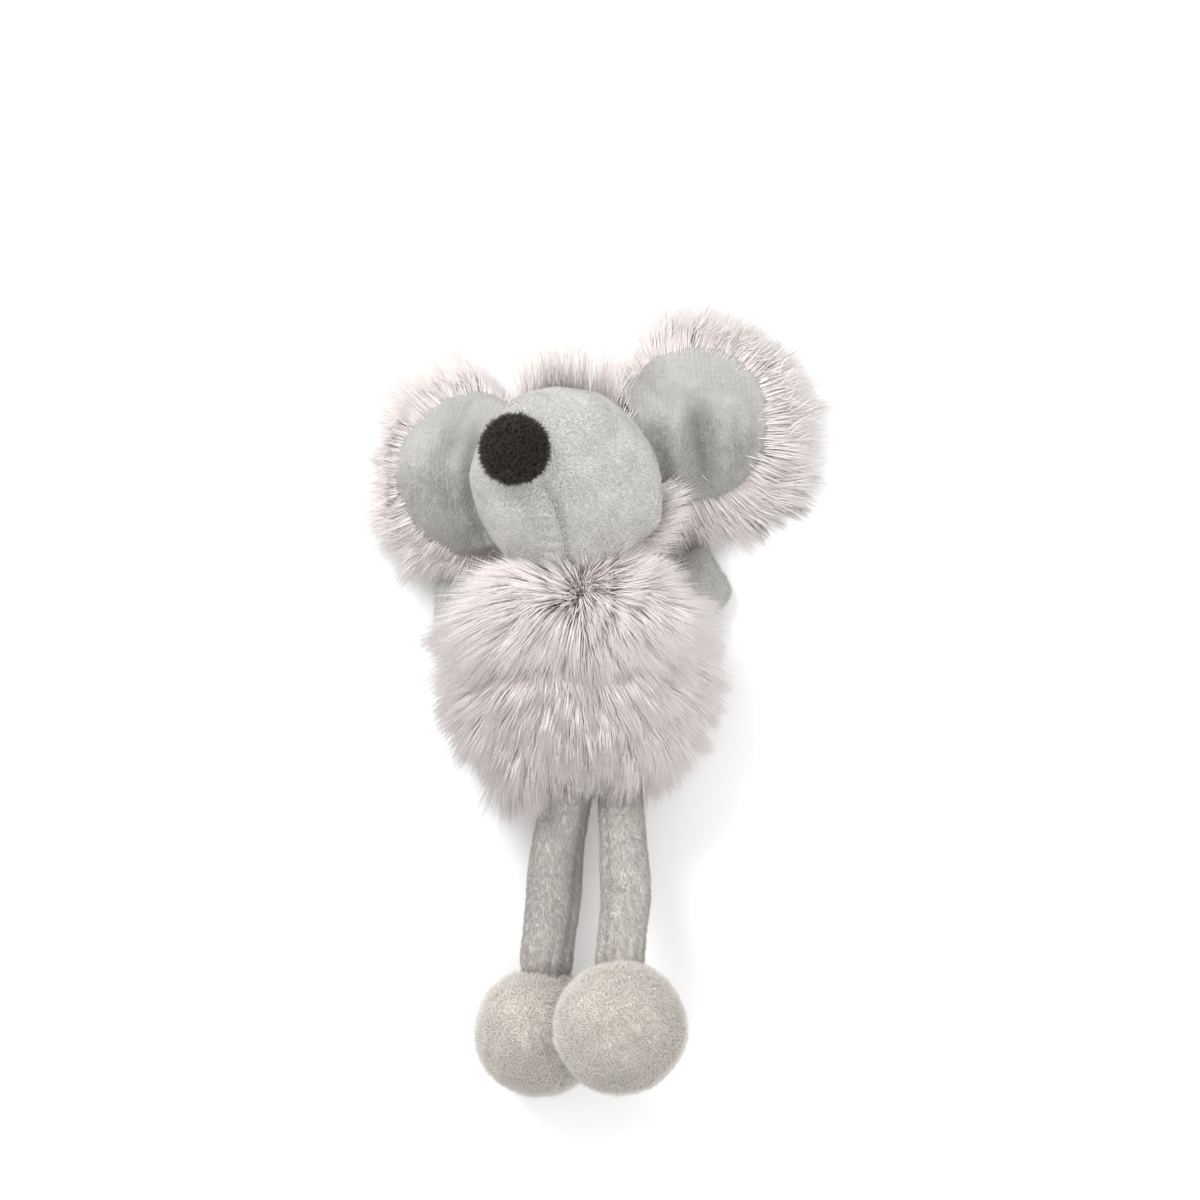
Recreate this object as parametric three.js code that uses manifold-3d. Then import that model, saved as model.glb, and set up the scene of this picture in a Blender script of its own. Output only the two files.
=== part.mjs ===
// Catnip mouse: a limp plush cat toy with big round ears, a black pompom nose,
// a shaggy body, flat arms and two tube legs that end in pompom feet.
// Millimetres. The toy lies on its back: +Z points up from the floor to its face,
// +Y runs from the feet to the top of the head, and +X is the viewer's right.
// The origin is on the floor, under the torso's flat back.
import * as THREE from 'three';
import { mergeVertices } from 'three/addons/utils/BufferGeometryUtils.js';
import Module from 'manifold-3d';

const wasm = await Module();
wasm.setup();

// Fabric, thread and clearances
const velour = 1.2;              // short-pile fabric of face, ears, arms and legs
const sheet = 0.4;               // nonwoven sheet of the catnip sachet
const thread = 0.8;              // sewing thread, doubled
const stitchWave = 0.5;          // how far a zigzag stitch swings to each side
const gap = 0.3;                 // clearance between neighbouring pieces
const flatCut = 0.5;             // how deep a soft form is cut flat where it rests
const overrun = 2;               // how far a cutting tool runs past the piece

// Torso: a stuffed bag, and the envelope of the long pile around it
const torsoLength = 35;
const torsoTop = 16.5;           // neck end of the pile, along Y
const torsoHalfWidth = 24.5;
const torsoMiddleZ = 12;         // height of the side seam over the floor
const torsoRise = 16;            // from the side seam to the top of the belly pile
const sidePile = 8;              // pile depth beside the bag
const frontPile = 6.3;           // pile depth over the belly
const backPile = 2.5;            // pile depth under the back, where it is squashed
const endPile = 4;               // pile depth at the neck and at the legs

// Neck: the gathered end of the torso, pulled in by thread
const neckX = -1;
const neckZ = 13;
const neckRadius = 4.2;
const neckWaist = 2.9;
const neckSink = 2;              // how deep the gather sits in torso and head

// Head: a ball that runs out into a leaning snout
const headX = -2;
const headRadius = 18;
const headRest = 2.5;            // pile and backing squashed between ball and floor
const snoutRise = 19;            // from the middle of the ball to the end of the snout
const snoutLeanX = -10.5;
const snoutLeanY = 5.2;
const faceSeamDrop = 5.5;        // the face seam lies this far below the ball's middle
const crownPile = 4.5;           // pile depth of the head's back at the crown
const napePile = 0.8;            // and at the ears and the neck
const noseRadius = 6.4;
const noseProud = 2.1;           // how far the nose's middle stands past the snout's end
const noseStem = 9;              // thread from the nose's middle into the head

// Ears: round, velour in front and long pile behind
const earRadius = 15.3;
const earRuff = 3.9;             // how far the pile stands out past the velour
const earBackThickness = 7;
const earHingeZ = 8;
const earCup = 3.4;              // how high the velour bulges
const earHem = 0.6;              // pile thickness at the very rim
const earPleatWidth = 2.4;
const earTuck = 4;               // how far the ear reaches in under the head
const earClearance = 0.6;        // between a moving ear and the head
const earFold = 45;              // how far an ear folds up, in degrees
const leftEar = { reach: 17.9, turn: 177, pleat: 0.6 };
const rightEar = { reach: 25.3, turn: 23.7, pleat: 2 };

// Arms: flat velour tabs sewn into the shoulders
const armHalfWidth = 5.8;
const armThickness = 3.6;
const armCorner = 2.4;
const armHem = 1;                // thickness of one layer at the edge
const armLift = 50;              // how far an arm lifts, in degrees
const shoulderY = 12.6;
const shoulderDrop = 5;          // below the torso's side seam
const armReach = 11.4;
const leftArm = { side: -1, turn: 177 };
const rightArm = { side: 1, turn: 40 };

// Legs: filled velour tubes between a hip and an ankle
const hipSink = 1.5;             // how deep a leg's end sits in the torso's pile
const hipStitch = 0.6;           // thickness of the patch of stitches in a hip
const hipStitchSpread = 22;      // its half angle, in degrees
const sleeveOpening = 1.6;       // radius of the filling hole at the top of a sleeve
const ankleSink = 3;             // how deep a sleeve's end sits in its pompom
const leftLeg = { hipX: -2.9, hipZ: 11, radius: 5, swell: 0.35, bow: -0.3, sag: 2.6 };
const rightLeg = { hipX: 7.4, hipZ: 12.4, radius: 4.6, swell: 0.3, bow: 0.9, sag: 1.2 };

// Feet: pompoms, the right one resting on the left one; the drop is from the torso's end
const leftFoot = { x: -7.6, drop: 46.9, radius: 11.6 };
const rightFoot = { x: 7.4, drop: 45.3, radius: 11.9 };
const knotRadius = 1.6;

// Catnip sachet, and the seam that closes the back
const sachetHalfWidth = 9;
const sachetHalfLength = 7.5;
const sachetCorner = 2.5;
const sachetBulge = 2.8;
const sachetHem = 1;
const closingX = 5.5;
const closingLength = 12;
const closingStitches = 4;
const closingDepth = 0.5;        // of the seam's middle line under the back's surface

// Counts of sides, rings and steps
const roundSides = 24;
const roundRings = 14;
const innerSides = 16;
const innerRings = 10;
const ballSides = 16;
const ballRings = 10;
const limbSides = 12;
const threadSides = 5;
const sweepSteps = 6;

// Shares that shape the soft forms
const bagPower = 2.35;           // 2 is an ellipsoid, more is boxier
const bagTaperShare = 0.12;      // how much wider the shoulders are than the middle
const snoutPower = 0.12;         // how much the snout draws in
const leanPower = 1.6;
const chinStartShare = 0.42;
const chinEndShare = 0.8;
const chinStartTurn = -82;
const chinEndTurn = -58;

// Places worked out from the sizes
const degrees = Math.PI / 180;
const torsoMiddleY = torsoTop - torsoLength / 2;
const neckY = torsoTop + neckRadius - neckSink;
const headZ = headRest + headRadius;
const headY = neckY + Math.sqrt(
  (headRadius + neckRadius - neckSink) ** 2 - (headZ - neckZ) ** 2 - (headX - neckX) ** 2);
const faceSeamZ = headZ - faceSeamDrop;
const stitchRoom = stitchWave + thread / 2 + gap;
const headDepth = headRadius + headRest + flatCut;
const sachetZ = backPile + gap + sachetBulge + sheet + gap;
const torsoEndY = torsoTop - torsoLength;
const leftFootZ = leftFoot.radius - flatCut;
const rightFootZ = leftFootZ + Math.sqrt(
  (leftFoot.radius + rightFoot.radius + gap) ** 2
  - (rightFoot.x - leftFoot.x) ** 2
  - (rightFoot.drop - leftFoot.drop) ** 2);

const point = (x, y, z) => new THREE.Vector3(x, y, z);
const neckPivot = point(neckX, neckY, neckZ);
const headMiddle = point(headX, headY, headZ);
const upwards = point(0, 0, 1);
const headwards = point(0, 1, 0);

// From a three.js geometry to a solid for cutting, and back
function solidOf(geometry) {
  const bare = geometry.clone();
  bare.deleteAttribute('normal');
  bare.deleteAttribute('uv');
  const merged = mergeVertices(bare);
  return new wasm.Manifold(new wasm.Mesh({
    numProp: 3,
    vertProperties: new Float32Array(merged.attributes.position.array),
    triVerts: new Uint32Array(merged.index.array),
  }));
}

function geometryOf(solid) {
  const mesh = solid.getMesh();
  const geometry = new THREE.BufferGeometry();
  geometry.setAttribute('position', new THREE.BufferAttribute(mesh.vertProperties, mesh.numProp));
  geometry.setIndex(new THREE.BufferAttribute(mesh.triVerts, 1));
  geometry.computeVertexNormals();
  return geometry;
}

function cut(solid, ...tools) {
  return tools.reduce((rest, tool) => rest.subtract(tool), solid);
}

// What is left of a solid above or below a height
const above = (solid, height) => solid.trimByPlane([0, 0, 1], height);
const below = (solid, height) => solid.trimByPlane([0, 0, -1], -height);

// A ball, as a cutting tool or a piece
function ball(middle, radius, sides = ballSides, rings = ballRings) {
  const geometry = new THREE.SphereGeometry(radius, sides, rings);
  geometry.translate(middle.x, middle.y, middle.z);
  return geometry;
}

// A unit ball whose every point is moved by a rule; its poles lie along Y
function moulded(sides, rings, rule) {
  const geometry = new THREE.SphereGeometry(1, sides, rings);
  const places = geometry.attributes.position;
  const spot = new THREE.Vector3();
  for (let i = 0; i < places.count; i += 1) {
    spot.fromBufferAttribute(places, i);
    const moved = rule(spot);
    places.setXYZ(i, moved.x, moved.y, moved.z);
  }
  return geometry;
}

// A closed skin over rings of points, from a start point to an end point;
// seen from the start, each ring runs counterclockwise
function lofted(start, rings, end) {
  const sides = rings[0].length;
  const points = [start, ...rings.flat(), end];
  const last = points.length - 1;
  const faces = [];
  for (let j = 0; j < sides; j += 1) {
    const next = (j + 1) % sides;
    faces.push(0, 1 + j, 1 + next);
    for (let k = 1; k < rings.length; k += 1) {
      const inner = 1 + (k - 1) * sides;
      const outer = 1 + k * sides;
      faces.push(inner + j, outer + j, outer + next);
      faces.push(inner + j, outer + next, inner + next);
    }
    const rim = 1 + (rings.length - 1) * sides;
    faces.push(last, rim + next, rim + j);
  }
  const geometry = new THREE.BufferGeometry().setFromPoints(points);
  geometry.setIndex(faces);
  geometry.computeVertexNormals();
  return geometry;
}

// A closed body between two heights over an outline, in rings that shrink to its middle
function layered(outline, ringCount, top, bottom) {
  const ringsAt = (height) => {
    const rings = [];
    for (let k = 1; k <= ringCount; k += 1) {
      const share = k / ringCount;
      rings.push(outline.map((p) => point(
        p.x * share, p.y * share, height(share, p.x * share, p.y * share))));
    }
    return rings;
  };
  return lofted(
    point(0, 0, top(0, 0, 0)),
    [...ringsAt(top), ...ringsAt(bottom).reverse()],
    point(0, 0, bottom(0, 0, 0)));
}

function roundOutline(radius, sides) {
  const outline = [];
  for (let j = 0; j < sides; j += 1) {
    const angle = 2 * Math.PI * j / sides;
    outline.push(new THREE.Vector2(radius * Math.cos(angle), radius * Math.sin(angle)));
  }
  return outline;
}

function roundedOutline(halfLength, halfWidth, corner, cornerSteps) {
  const outline = [];
  for (let quarter = 0; quarter < 4; quarter += 1) {
    const along = quarter === 0 || quarter === 3 ? 1 : -1;
    const across = quarter < 2 ? 1 : -1;
    for (let k = 0; k <= cornerSteps; k += 1) {
      const angle = (quarter + k / cornerSteps) * Math.PI / 2;
      outline.push(new THREE.Vector2(
        along * (halfLength - corner) + corner * Math.cos(angle),
        across * (halfWidth - corner) + corner * Math.sin(angle)));
    }
  }
  return outline;
}

// A thread along a smooth line through its points
function threadAlong(points, width, steps) {
  const section = new THREE.Shape(roundOutline(width / 2, threadSides));
  return new THREE.ExtrudeGeometry(section, {
    steps,
    extrudePath: new THREE.CatmullRomCurve3(points),
  });
}

// Points of a zigzag stitch along Y, swinging to both sides in Z
function zigzag(length, stitches, wave) {
  const points = [];
  for (let k = 0; k <= stitches; k += 1) {
    points.push(point(0, length * (k / stitches - 1 / 2), k % 2 === 0 ? wave : -wave));
  }
  return points;
}

// A thread with a knot at its far end, from one point towards another
function tie(start, knot, width, knotSize) {
  const length = start.distanceTo(knot);
  const meet = Math.asin(Math.min(1, width / 2 / knotSize));
  const profile = [new THREE.Vector2(0, 0), new THREE.Vector2(width / 2, 0)];
  const arcSteps = 5;
  for (let k = 0; k <= arcSteps; k += 1) {
    const angle = meet + (Math.PI - meet) * k / arcSteps;
    const across = k === arcSteps ? 0 : knotSize * Math.sin(angle);
    profile.push(new THREE.Vector2(across, length - knotSize * Math.cos(angle)));
  }
  const geometry = new THREE.LatheGeometry(profile, limbSides / 2 + 1);
  const direction = knot.clone().sub(start).normalize();
  geometry.applyQuaternion(new THREE.Quaternion().setFromUnitVectors(headwards, direction));
  geometry.translate(start.x, start.y, start.z);
  return geometry;
}

// A named mesh with its own material
function part(name, solidOrGeometry, colour, roughness) {
  const geometry = solidOrGeometry.isBufferGeometry ? solidOrGeometry : geometryOf(solidOrGeometry);
  const material = new THREE.MeshStandardMaterial({ color: colour, roughness, metalness: 0 });
  const mesh = new THREE.Mesh(geometry, material);
  mesh.name = name;
  return mesh;
}

const furPart = (name, solid) => part(name, solid, 0xcfc6c3, 0.95);
const velourPart = (name, solid) => part(name, solid, 0xbabcb6, 0.9);
const facePart = (name, solid) => part(name, solid, 0xc9c7c4, 0.9);
const legPart = (name, solid) => part(name, solid, 0xb8b4ad, 0.9);
const footPart = (name, solid) => part(name, solid, 0xc4beb4, 0.95);
const threadPart = (name, solid) => part(name, solid, 0xa9a39c, 0.7);
const fillingPart = (name, solid) => part(name, solid, 0xf1efea, 0.95);

// Torso: the same boxy bag form at every depth of the pile
function torsoSpot(unit, side, front, back, end) {
  const size = (Math.abs(unit.x) ** bagPower + Math.abs(unit.y) ** bagPower
    + Math.abs(unit.z) ** bagPower) ** (-1 / bagPower);
  const spot = unit.clone().multiplyScalar(size);
  const depth = spot.z > 0 ? torsoRise - front : torsoMiddleZ + flatCut - back;
  return point(
    spot.x * (torsoHalfWidth - side) * (1 + bagTaperShare * spot.y),
    torsoMiddleY + spot.y * (torsoLength / 2 - end),
    torsoMiddleZ + spot.z * depth);
}

function torsoForm(side, front, back, end, sides = innerSides, rings = innerRings) {
  return moulded(sides, rings, (unit) => torsoSpot(unit, side, front, back, end));
}

const torsoOutside = (clearance) => torsoForm(
  -clearance, -clearance, -clearance, -clearance, roundSides, roundRings);

// How wide the torso may be at a place along it
const torsoWidthAt = (y) => torsoHalfWidth
  * (1 + bagTaperShare * (y - torsoMiddleY) / (torsoLength / 2));

// How high the torso's back lies over the floor at a place
function torsoUnderside(x, y) {
  const across = Math.abs(x / torsoWidthAt(y)) ** bagPower;
  const along = Math.abs((y - torsoMiddleY) / (torsoLength / 2)) ** bagPower;
  const drop = (torsoMiddleZ + flatCut) * (1 - across - along) ** (1 / bagPower);
  return Math.max(0, torsoMiddleZ - drop);
}

// Where a leg turns in its hip
function hipPivot(leg) {
  const socket = leg.radius + gap + hipStitch + gap;
  return point(leg.hipX, torsoEndY + hipSink - socket, leg.hipZ);
}

// The shoulder lies on the torso's side, at the height of the arm's root
function shoulderPivot(arm) {
  const along = Math.abs((shoulderY - torsoMiddleY) / (torsoLength / 2)) ** bagPower;
  const under = Math.abs(shoulderDrop / (torsoMiddleZ + flatCut)) ** bagPower;
  const reach = torsoWidthAt(shoulderY) * (1 - along - under) ** (1 / bagPower) + stitchRoom;
  return point(arm.side * reach, shoulderY, torsoMiddleZ - shoulderDrop);
}

// The dent that an arm's seam presses into the pile
function shoulderDent(arm) {
  const dent = new THREE.CylinderGeometry(stitchRoom, stitchRoom, armHalfWidth + overrun, limbSides);
  dent.rotateZ(arm.turn * degrees);
  const pivot = shoulderPivot(arm);
  return dent.translate(pivot.x, pivot.y, pivot.z);
}

// The seam that closes the back, or the groove around it when a clearance is given
function closingSeam(clearance) {
  const points = zigzag(closingLength, closingStitches * 2, stitchWave).map((p) => {
    const x = closingX + p.z;
    const y = torsoMiddleY + p.y;
    return point(x, y, torsoUnderside(x, y) + closingDepth);
  });
  if (clearance > 0) {
    points.unshift(points[0].clone().setY(points[0].y - clearance));
    points.push(points.at(-1).clone().setY(points.at(-1).y + clearance));
  }
  return threadAlong(points, thread + clearance * 2, closingStitches * 6);
}

function makeTorso() {
  const torso = new THREE.Group();
  const sockets = [leftLeg, rightLeg].map((leg) => solidOf(
    ball(hipPivot(leg), leg.radius + gap + hipStitch + gap)));
  sockets.push(solidOf(ball(neckPivot, neckRadius + gap)));
  sockets.push(...[leftArm, rightArm].map((arm) => solidOf(shoulderDent(arm))));
  const bag = solidOf(torsoForm(sidePile, frontPile, backPile, endPile));
  const pile = cut(solidOf(torsoOutside(0)), bag, ...sockets);
  const groove = solidOf(closingSeam(gap));
  torso.add(furPart('torso_front_fur', above(pile, torsoMiddleZ + gap / 2)));
  torso.add(furPart('torso_back_fur', cut(
    above(below(pile, torsoMiddleZ - gap / 2), 0), groove)));

  // The sachet lies in a pocket of the filling that opens to the back
  const outline = roundedOutline(sachetHalfWidth, sachetHalfLength, sachetCorner, 3);
  const wide = roundedOutline(
    sachetHalfWidth + gap, sachetHalfLength + gap, sachetCorner + gap, 3);
  const pocketTop = sachetZ + sachetBulge + sheet + gap * 2;
  const pocket = layered(wide, 1, () => pocketTop, () => -overrun);
  pocket.translate(0, torsoMiddleY, 0);
  const filling = solidOf(torsoForm(
    sidePile + gap, frontPile + gap, backPile + gap, endPile + gap));
  torso.add(fillingPart('torso_stuffing', cut(filling, solidOf(pocket), ...sockets)));
  const swell = (share) => sachetBulge * Math.max(0, 1 - (share * sachetHalfWidth
    / (sachetHalfWidth - sachetHem)) ** 4);
  const front = layered(outline, 4,
    (share) => gap / 2 + swell(share) + sheet,
    (share) => gap / 2 + swell(share));
  const back = layered(outline, 4,
    (share) => -gap / 2 - swell(share),
    (share) => -gap / 2 - swell(share) - sheet);
  const herb = roundedOutline(
    sachetHalfWidth - sachetHem * 2, sachetHalfLength - sachetHem * 2, sachetCorner, 3);
  const herbShare = 1 - sachetHem * 2 / sachetHalfWidth;
  const leafLift = (share) => (swell(share * herbShare) - gap / 2) * (1 - share / 2);
  const leaves = layered(herb, 3, leafLift, (share) => -leafLift(share));
  const sachet = new THREE.Group();
  sachet.position.set(0, torsoMiddleY, sachetZ);
  sachet.add(part('sachet_front_sheet', front, 0xe9e4d8, 0.85));
  sachet.add(part('sachet_back_sheet', back, 0xe9e4d8, 0.85));
  sachet.add(part('catnip_filling', leaves, 0x7c8a55, 0.95));
  torso.add(sachet);
  torso.add(threadPart('closing_stitches', closingSeam(0)));
  return torso;
}

// Neck: a ball of gathered fabric with a waist, and the thread wound round it
function makeNeck() {
  const neck = new THREE.Group();
  neck.position.copy(neckPivot);
  const profile = [];
  const steps = 12;
  for (let k = 0; k <= steps; k += 1) {
    const angle = Math.PI * (k / steps - 1 / 2);
    const pole = k === 0 || k === steps;
    const waist = (neckRadius - neckWaist)
      * Math.exp(-((neckRadius * Math.sin(angle) / (thread + gap * 2)) ** 2));
    const across = pole ? 0 : neckRadius * Math.cos(angle) - waist;
    profile.push(new THREE.Vector2(across, neckRadius * Math.sin(angle)));
  }
  neck.add(velourPart('neck_gather', new THREE.LatheGeometry(profile, ballSides)));
  const winding = new THREE.TorusGeometry(
    neckWaist + gap + thread / 2, thread / 2, threadSides + 1, ballSides);
  winding.rotateX(Math.PI / 2);
  neck.add(threadPart('neck_thread', winding));
  return neck;
}

// Head: a point of the ball and snout, with the given inset
function headSpot(unit, inset) {
  const radius = headRadius - inset;
  if (unit.z <= 0) {
    return unit.clone().multiplyScalar(radius).add(headMiddle);
  }
  const draw = Math.max(0, 1 - unit.z ** 2) ** snoutPower;
  const lean = unit.z ** leanPower;
  return point(
    headX + unit.x * draw * radius + snoutLeanX * lean,
    headY + unit.y * draw * radius + snoutLeanY * lean,
    headZ + unit.z * (snoutRise - inset));
}

// The unit ball stands with its poles along Z here
function headForm(inset) {
  const sides = inset > 0 ? innerSides + 4 : roundSides;
  const rings = inset > 0 ? innerRings + 2 : roundRings;
  return moulded(sides, rings, (spot) => headSpot(point(spot.x, -spot.z, spot.y), inset));
}

// The pile of the head's back, deepest at the crown
function headOutside(clearance, sides = roundSides, rings = roundRings) {
  return moulded(sides, rings, (spot) => {
    const unit = point(spot.x, -spot.z, spot.y);
    const along = unit.y > 0 ? crownPile : napePile;
    return point(
      headX + unit.x * (headRadius + napePile + clearance),
      headY + unit.y * (headRadius + along + clearance),
      headZ + unit.z * (headDepth + clearance));
  });
}

// How far the ear's root seam lies from the head's middle, in the ear's direction
function hingeReach(ear) {
  const direction = ear.turn * degrees;
  const level = Math.sqrt(1 - ((headZ - earHingeZ) / headDepth) ** 2);
  const side = Math.cos(direction) / (headRadius + napePile);
  const crown = Math.sin(direction) / (headRadius + crownPile);
  return level / Math.hypot(side, crown) + stitchRoom;
}

function makeHead() {
  const head = new THREE.Group();
  const snoutEnd = headSpot(upwards, 0);
  const noseMiddle = snoutEnd.clone().setZ(snoutEnd.z + noseProud);
  const stemEnd = noseMiddle.clone().lerp(headMiddle, noseStem / noseMiddle.distanceTo(headMiddle));
  const noseRoom = solidOf(ball(noseMiddle, noseRadius + gap));
  const stemRoomEnd = stemEnd.clone().lerp(headMiddle, gap / stemEnd.distanceTo(headMiddle));
  const stemRoom = solidOf(tie(stemRoomEnd, noseMiddle, thread + gap * 2, knotRadius + gap));
  const neckRoom = solidOf(ball(neckPivot, neckRadius + gap));
  const inside = solidOf(headForm(velour));
  const face = cut(solidOf(headForm(0)), inside, noseRoom, neckRoom);
  head.add(facePart('face_panel', above(face, faceSeamZ + gap / 2)));
  const back = cut(solidOf(headOutside(0)), inside, neckRoom);
  head.add(furPart('head_back_fur', above(below(back, faceSeamZ - gap / 2), 0)));
  head.add(fillingPart('head_stuffing', cut(
    solidOf(headForm(velour + gap)), noseRoom, stemRoom, neckRoom)));
  head.add(part('nose_pompom', cut(solidOf(ball(noseMiddle, noseRadius)), stemRoom), 0x2a2623, 0.95));
  head.add(threadPart('nose_thread', tie(stemEnd, noseMiddle, thread, knotRadius)));

  // The seam under the chin, from the neck towards the nose
  const seam = [];
  const seamSteps = 6;
  for (let k = 0; k <= seamSteps; k += 1) {
    const share = k / seamSteps;
    const rise = chinStartShare + (chinEndShare - chinStartShare) * share;
    const turn = (chinStartTurn + (chinEndTurn - chinStartTurn) * share) * degrees;
    const level = Math.sqrt(1 - rise ** 2);
    seam.push(headSpot(
      point(level * Math.cos(turn), level * Math.sin(turn), rise), -gap - thread / 2));
  }
  head.add(threadPart('chin_seam_thread', threadAlong(seam, thread, seamSteps * 3)));
  return head;
}

// A tool turned about an axis through a point, as a hinged piece sees it while it moves
function sweep(makeTool, pivot, axis, range) {
  const tools = [];
  for (let k = 0; k <= sweepSteps; k += 1) {
    const geometry = makeTool();
    geometry.translate(-pivot.x, -pivot.y, -pivot.z);
    geometry.applyQuaternion(new THREE.Quaternion().setFromAxisAngle(
      axis, -range * degrees * k / sweepSteps));
    geometry.translate(pivot.x, pivot.y, pivot.z);
    tools.push(solidOf(geometry));
  }
  return tools;
}

// The ear's frame has X from the head's middle out to the ear, over the floor
function earFrame(ear) {
  const frame = new THREE.Group();
  frame.position.set(headX, headY, 0);
  frame.rotation.z = ear.turn * degrees;
  frame.updateMatrixWorld();
  return frame;
}

// The pile behind the ear, from the floor up to the velour
function earBack(ear, clearance) {
  const full = earRadius + earRuff + clearance;
  const velourShare = earRadius / full;
  const top = (share) => {
    const past = Math.max(0, share - velourShare) / (1 - velourShare);
    return clearance + earBackThickness - past ** 2 * (earBackThickness - earHem) / 2;
  };
  const bottom = (share) => -clearance + Math.max(0, share - velourShare) ** 2
    * (earBackThickness - earHem) / 2 / (1 - velourShare) ** 2;
  const pile = layered(roundOutline(full, roundSides), 5, top, bottom);
  pile.translate(ear.reach, 0, 0);
  return pile;
}

function makeEar(side, ear) {
  const frame = earFrame(ear);
  const hinge = point(hingeReach(ear), 0, earHingeZ);
  const toFrame = frame.matrixWorld.clone().invert();
  const headTool = () => headOutside(earClearance, ballSides, ballRings).applyMatrix4(toFrame);
  const clear = sweep(headTool, hinge, point(0, -1, 0), earFold);
  const seam = new THREE.CylinderGeometry(stitchRoom, stitchRoom, earRadius + overrun, threadSides * 2);
  clear.push(solidOf(seam.translate(hinge.x, hinge.y, hinge.z)));
  const rooted = (solid) => solid.trimByPlane([1, 0, 0], hinge.x - earTuck);
  const surface = (share, x, y) => {
    const pleat = ear.pleat * Math.exp(-((y / earPleatWidth) ** 2)) * (1 - share);
    return earBackThickness + gap + earCup * (1 - share ** 2) - pleat;
  };
  const front = layered(roundOutline(earRadius, roundSides), 5,
    (share, x, y) => surface(share, x, y) + velour,
    (share) => earBackThickness + gap + Math.max(0, earCup * (1 - share ** 2) / 2 - ear.pleat / 2));
  front.translate(ear.reach, 0, 0);
  frame.add(velourPart(`${side}_ear_front`, cut(rooted(solidOf(front)), ...clear)));
  frame.add(furPart(`${side}_ear_back_fur`, cut(rooted(solidOf(earBack(ear, 0))), ...clear)));
  const stitches = threadAlong(zigzag(earRadius, 8, stitchWave), thread, 16);
  stitches.translate(hinge.x, hinge.y, hinge.z);
  frame.add(threadPart(`${side}_ear_root_stitches`, stitches));
  return frame;
}

// The arm's frame has X from the shoulder to the hand, tipped down to the floor
function armFrame(arm) {
  const frame = new THREE.Group();
  const pivot = shoulderPivot(arm);
  const tip = Math.asin((pivot.z - armThickness / 2) / (armReach + stitchRoom));
  frame.position.copy(pivot);
  frame.rotation.set(0, tip, arm.turn * degrees, 'ZYX');
  frame.updateMatrixWorld();
  return frame;
}

function makeArm(side, arm, ear) {
  const frame = armFrame(arm);
  const toFrame = frame.matrixWorld.clone().invert();
  const torsoTool = () => torsoOutside(gap).applyMatrix4(toFrame);
  const clear = sweep(torsoTool, point(0, 0, 0), point(0, -1, 0), armLift);
  clear.push(solidOf(earBack(ear, gap).applyMatrix4(earFrame(ear).matrixWorld).applyMatrix4(toFrame)));
  const outline = roundedOutline(armReach / 2, armHalfWidth, armCorner, 3);
  const plump = (share) => armHem + (armThickness / 2 - gap / 2 - armHem) * (1 - share ** 3);
  const front = layered(outline, 4, (share) => gap / 2 + plump(share), () => gap / 2);
  const back = layered(outline, 4, () => -gap / 2, (share) => -gap / 2 - plump(share));
  for (const layer of [front, back]) {
    layer.translate(stitchRoom + armReach / 2, 0, 0);
  }
  frame.add(velourPart(`${side}_arm_front`, cut(solidOf(front), ...clear)));
  frame.add(velourPart(`${side}_arm_back`, cut(solidOf(back), ...clear)));
  const stitches = threadAlong(zigzag(armHalfWidth, 6, stitchWave), thread, 12);
  frame.add(threadPart(`${side}_shoulder_stitches`, stitches));
  return frame;
}

// A limb with round ends along a bowed line, as rings round its middle line
function limb(start, end, radius, swell, bow, sag) {
  const line = (share) => {
    const arch = 4 * share * (1 - share);
    return start.clone().lerp(end, share).add(point(bow * arch, 0, -sag * arch));
  };
  const rings = [];
  const ringAt = (middle, direction, width) => {
    const aside = upwards.clone().cross(direction).normalize();
    const across = aside.clone().cross(direction);
    rings.push(roundOutline(width, limbSides).map((p) => middle.clone()
      .addScaledVector(aside, p.x).addScaledVector(across, p.y)));
  };
  const heading = (share) => line(share + 0.01).sub(line(share - 0.01)).normalize();
  const endSteps = 4;
  const middleSteps = 7;
  const first = heading(0);
  const final = heading(1);
  for (let k = 1; k < endSteps; k += 1) {
    const angle = Math.PI / 2 * k / endSteps;
    ringAt(start.clone().addScaledVector(first, -radius * Math.cos(angle)), first, radius * Math.sin(angle));
  }
  for (let k = 0; k <= middleSteps; k += 1) {
    const share = k / middleSteps;
    ringAt(line(share), heading(share), radius + swell * Math.sin(Math.PI * share));
  }
  for (let k = endSteps - 1; k > 0; k -= 1) {
    const angle = Math.PI / 2 * k / endSteps;
    ringAt(end.clone().addScaledVector(final, radius * Math.cos(angle)), final, radius * Math.sin(angle));
  }
  return lofted(
    start.clone().addScaledVector(first, -radius), rings, end.clone().addScaledVector(final, radius));
}

// Hip: a patch of stitches between the torso and the leg's round end
function makeHip(side, leg) {
  const hip = new THREE.Group();
  hip.position.copy(hipPivot(leg));
  const inner = leg.radius + gap;
  const profile = [];
  const steps = 4;
  const arc = (radius, share) => {
    const angle = hipStitchSpread * degrees * share;
    profile.push(new THREE.Vector2(radius * Math.sin(angle), radius * Math.cos(angle)));
  };
  for (let k = 0; k <= steps; k += 1) {
    arc(inner, k / steps);
  }
  for (let k = steps; k >= 0; k -= 1) {
    arc(inner + hipStitch, k / steps);
  }
  hip.add(threadPart(`${side}_hip_stitching`, new THREE.LatheGeometry(profile, limbSides)));
  return hip;
}

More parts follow.
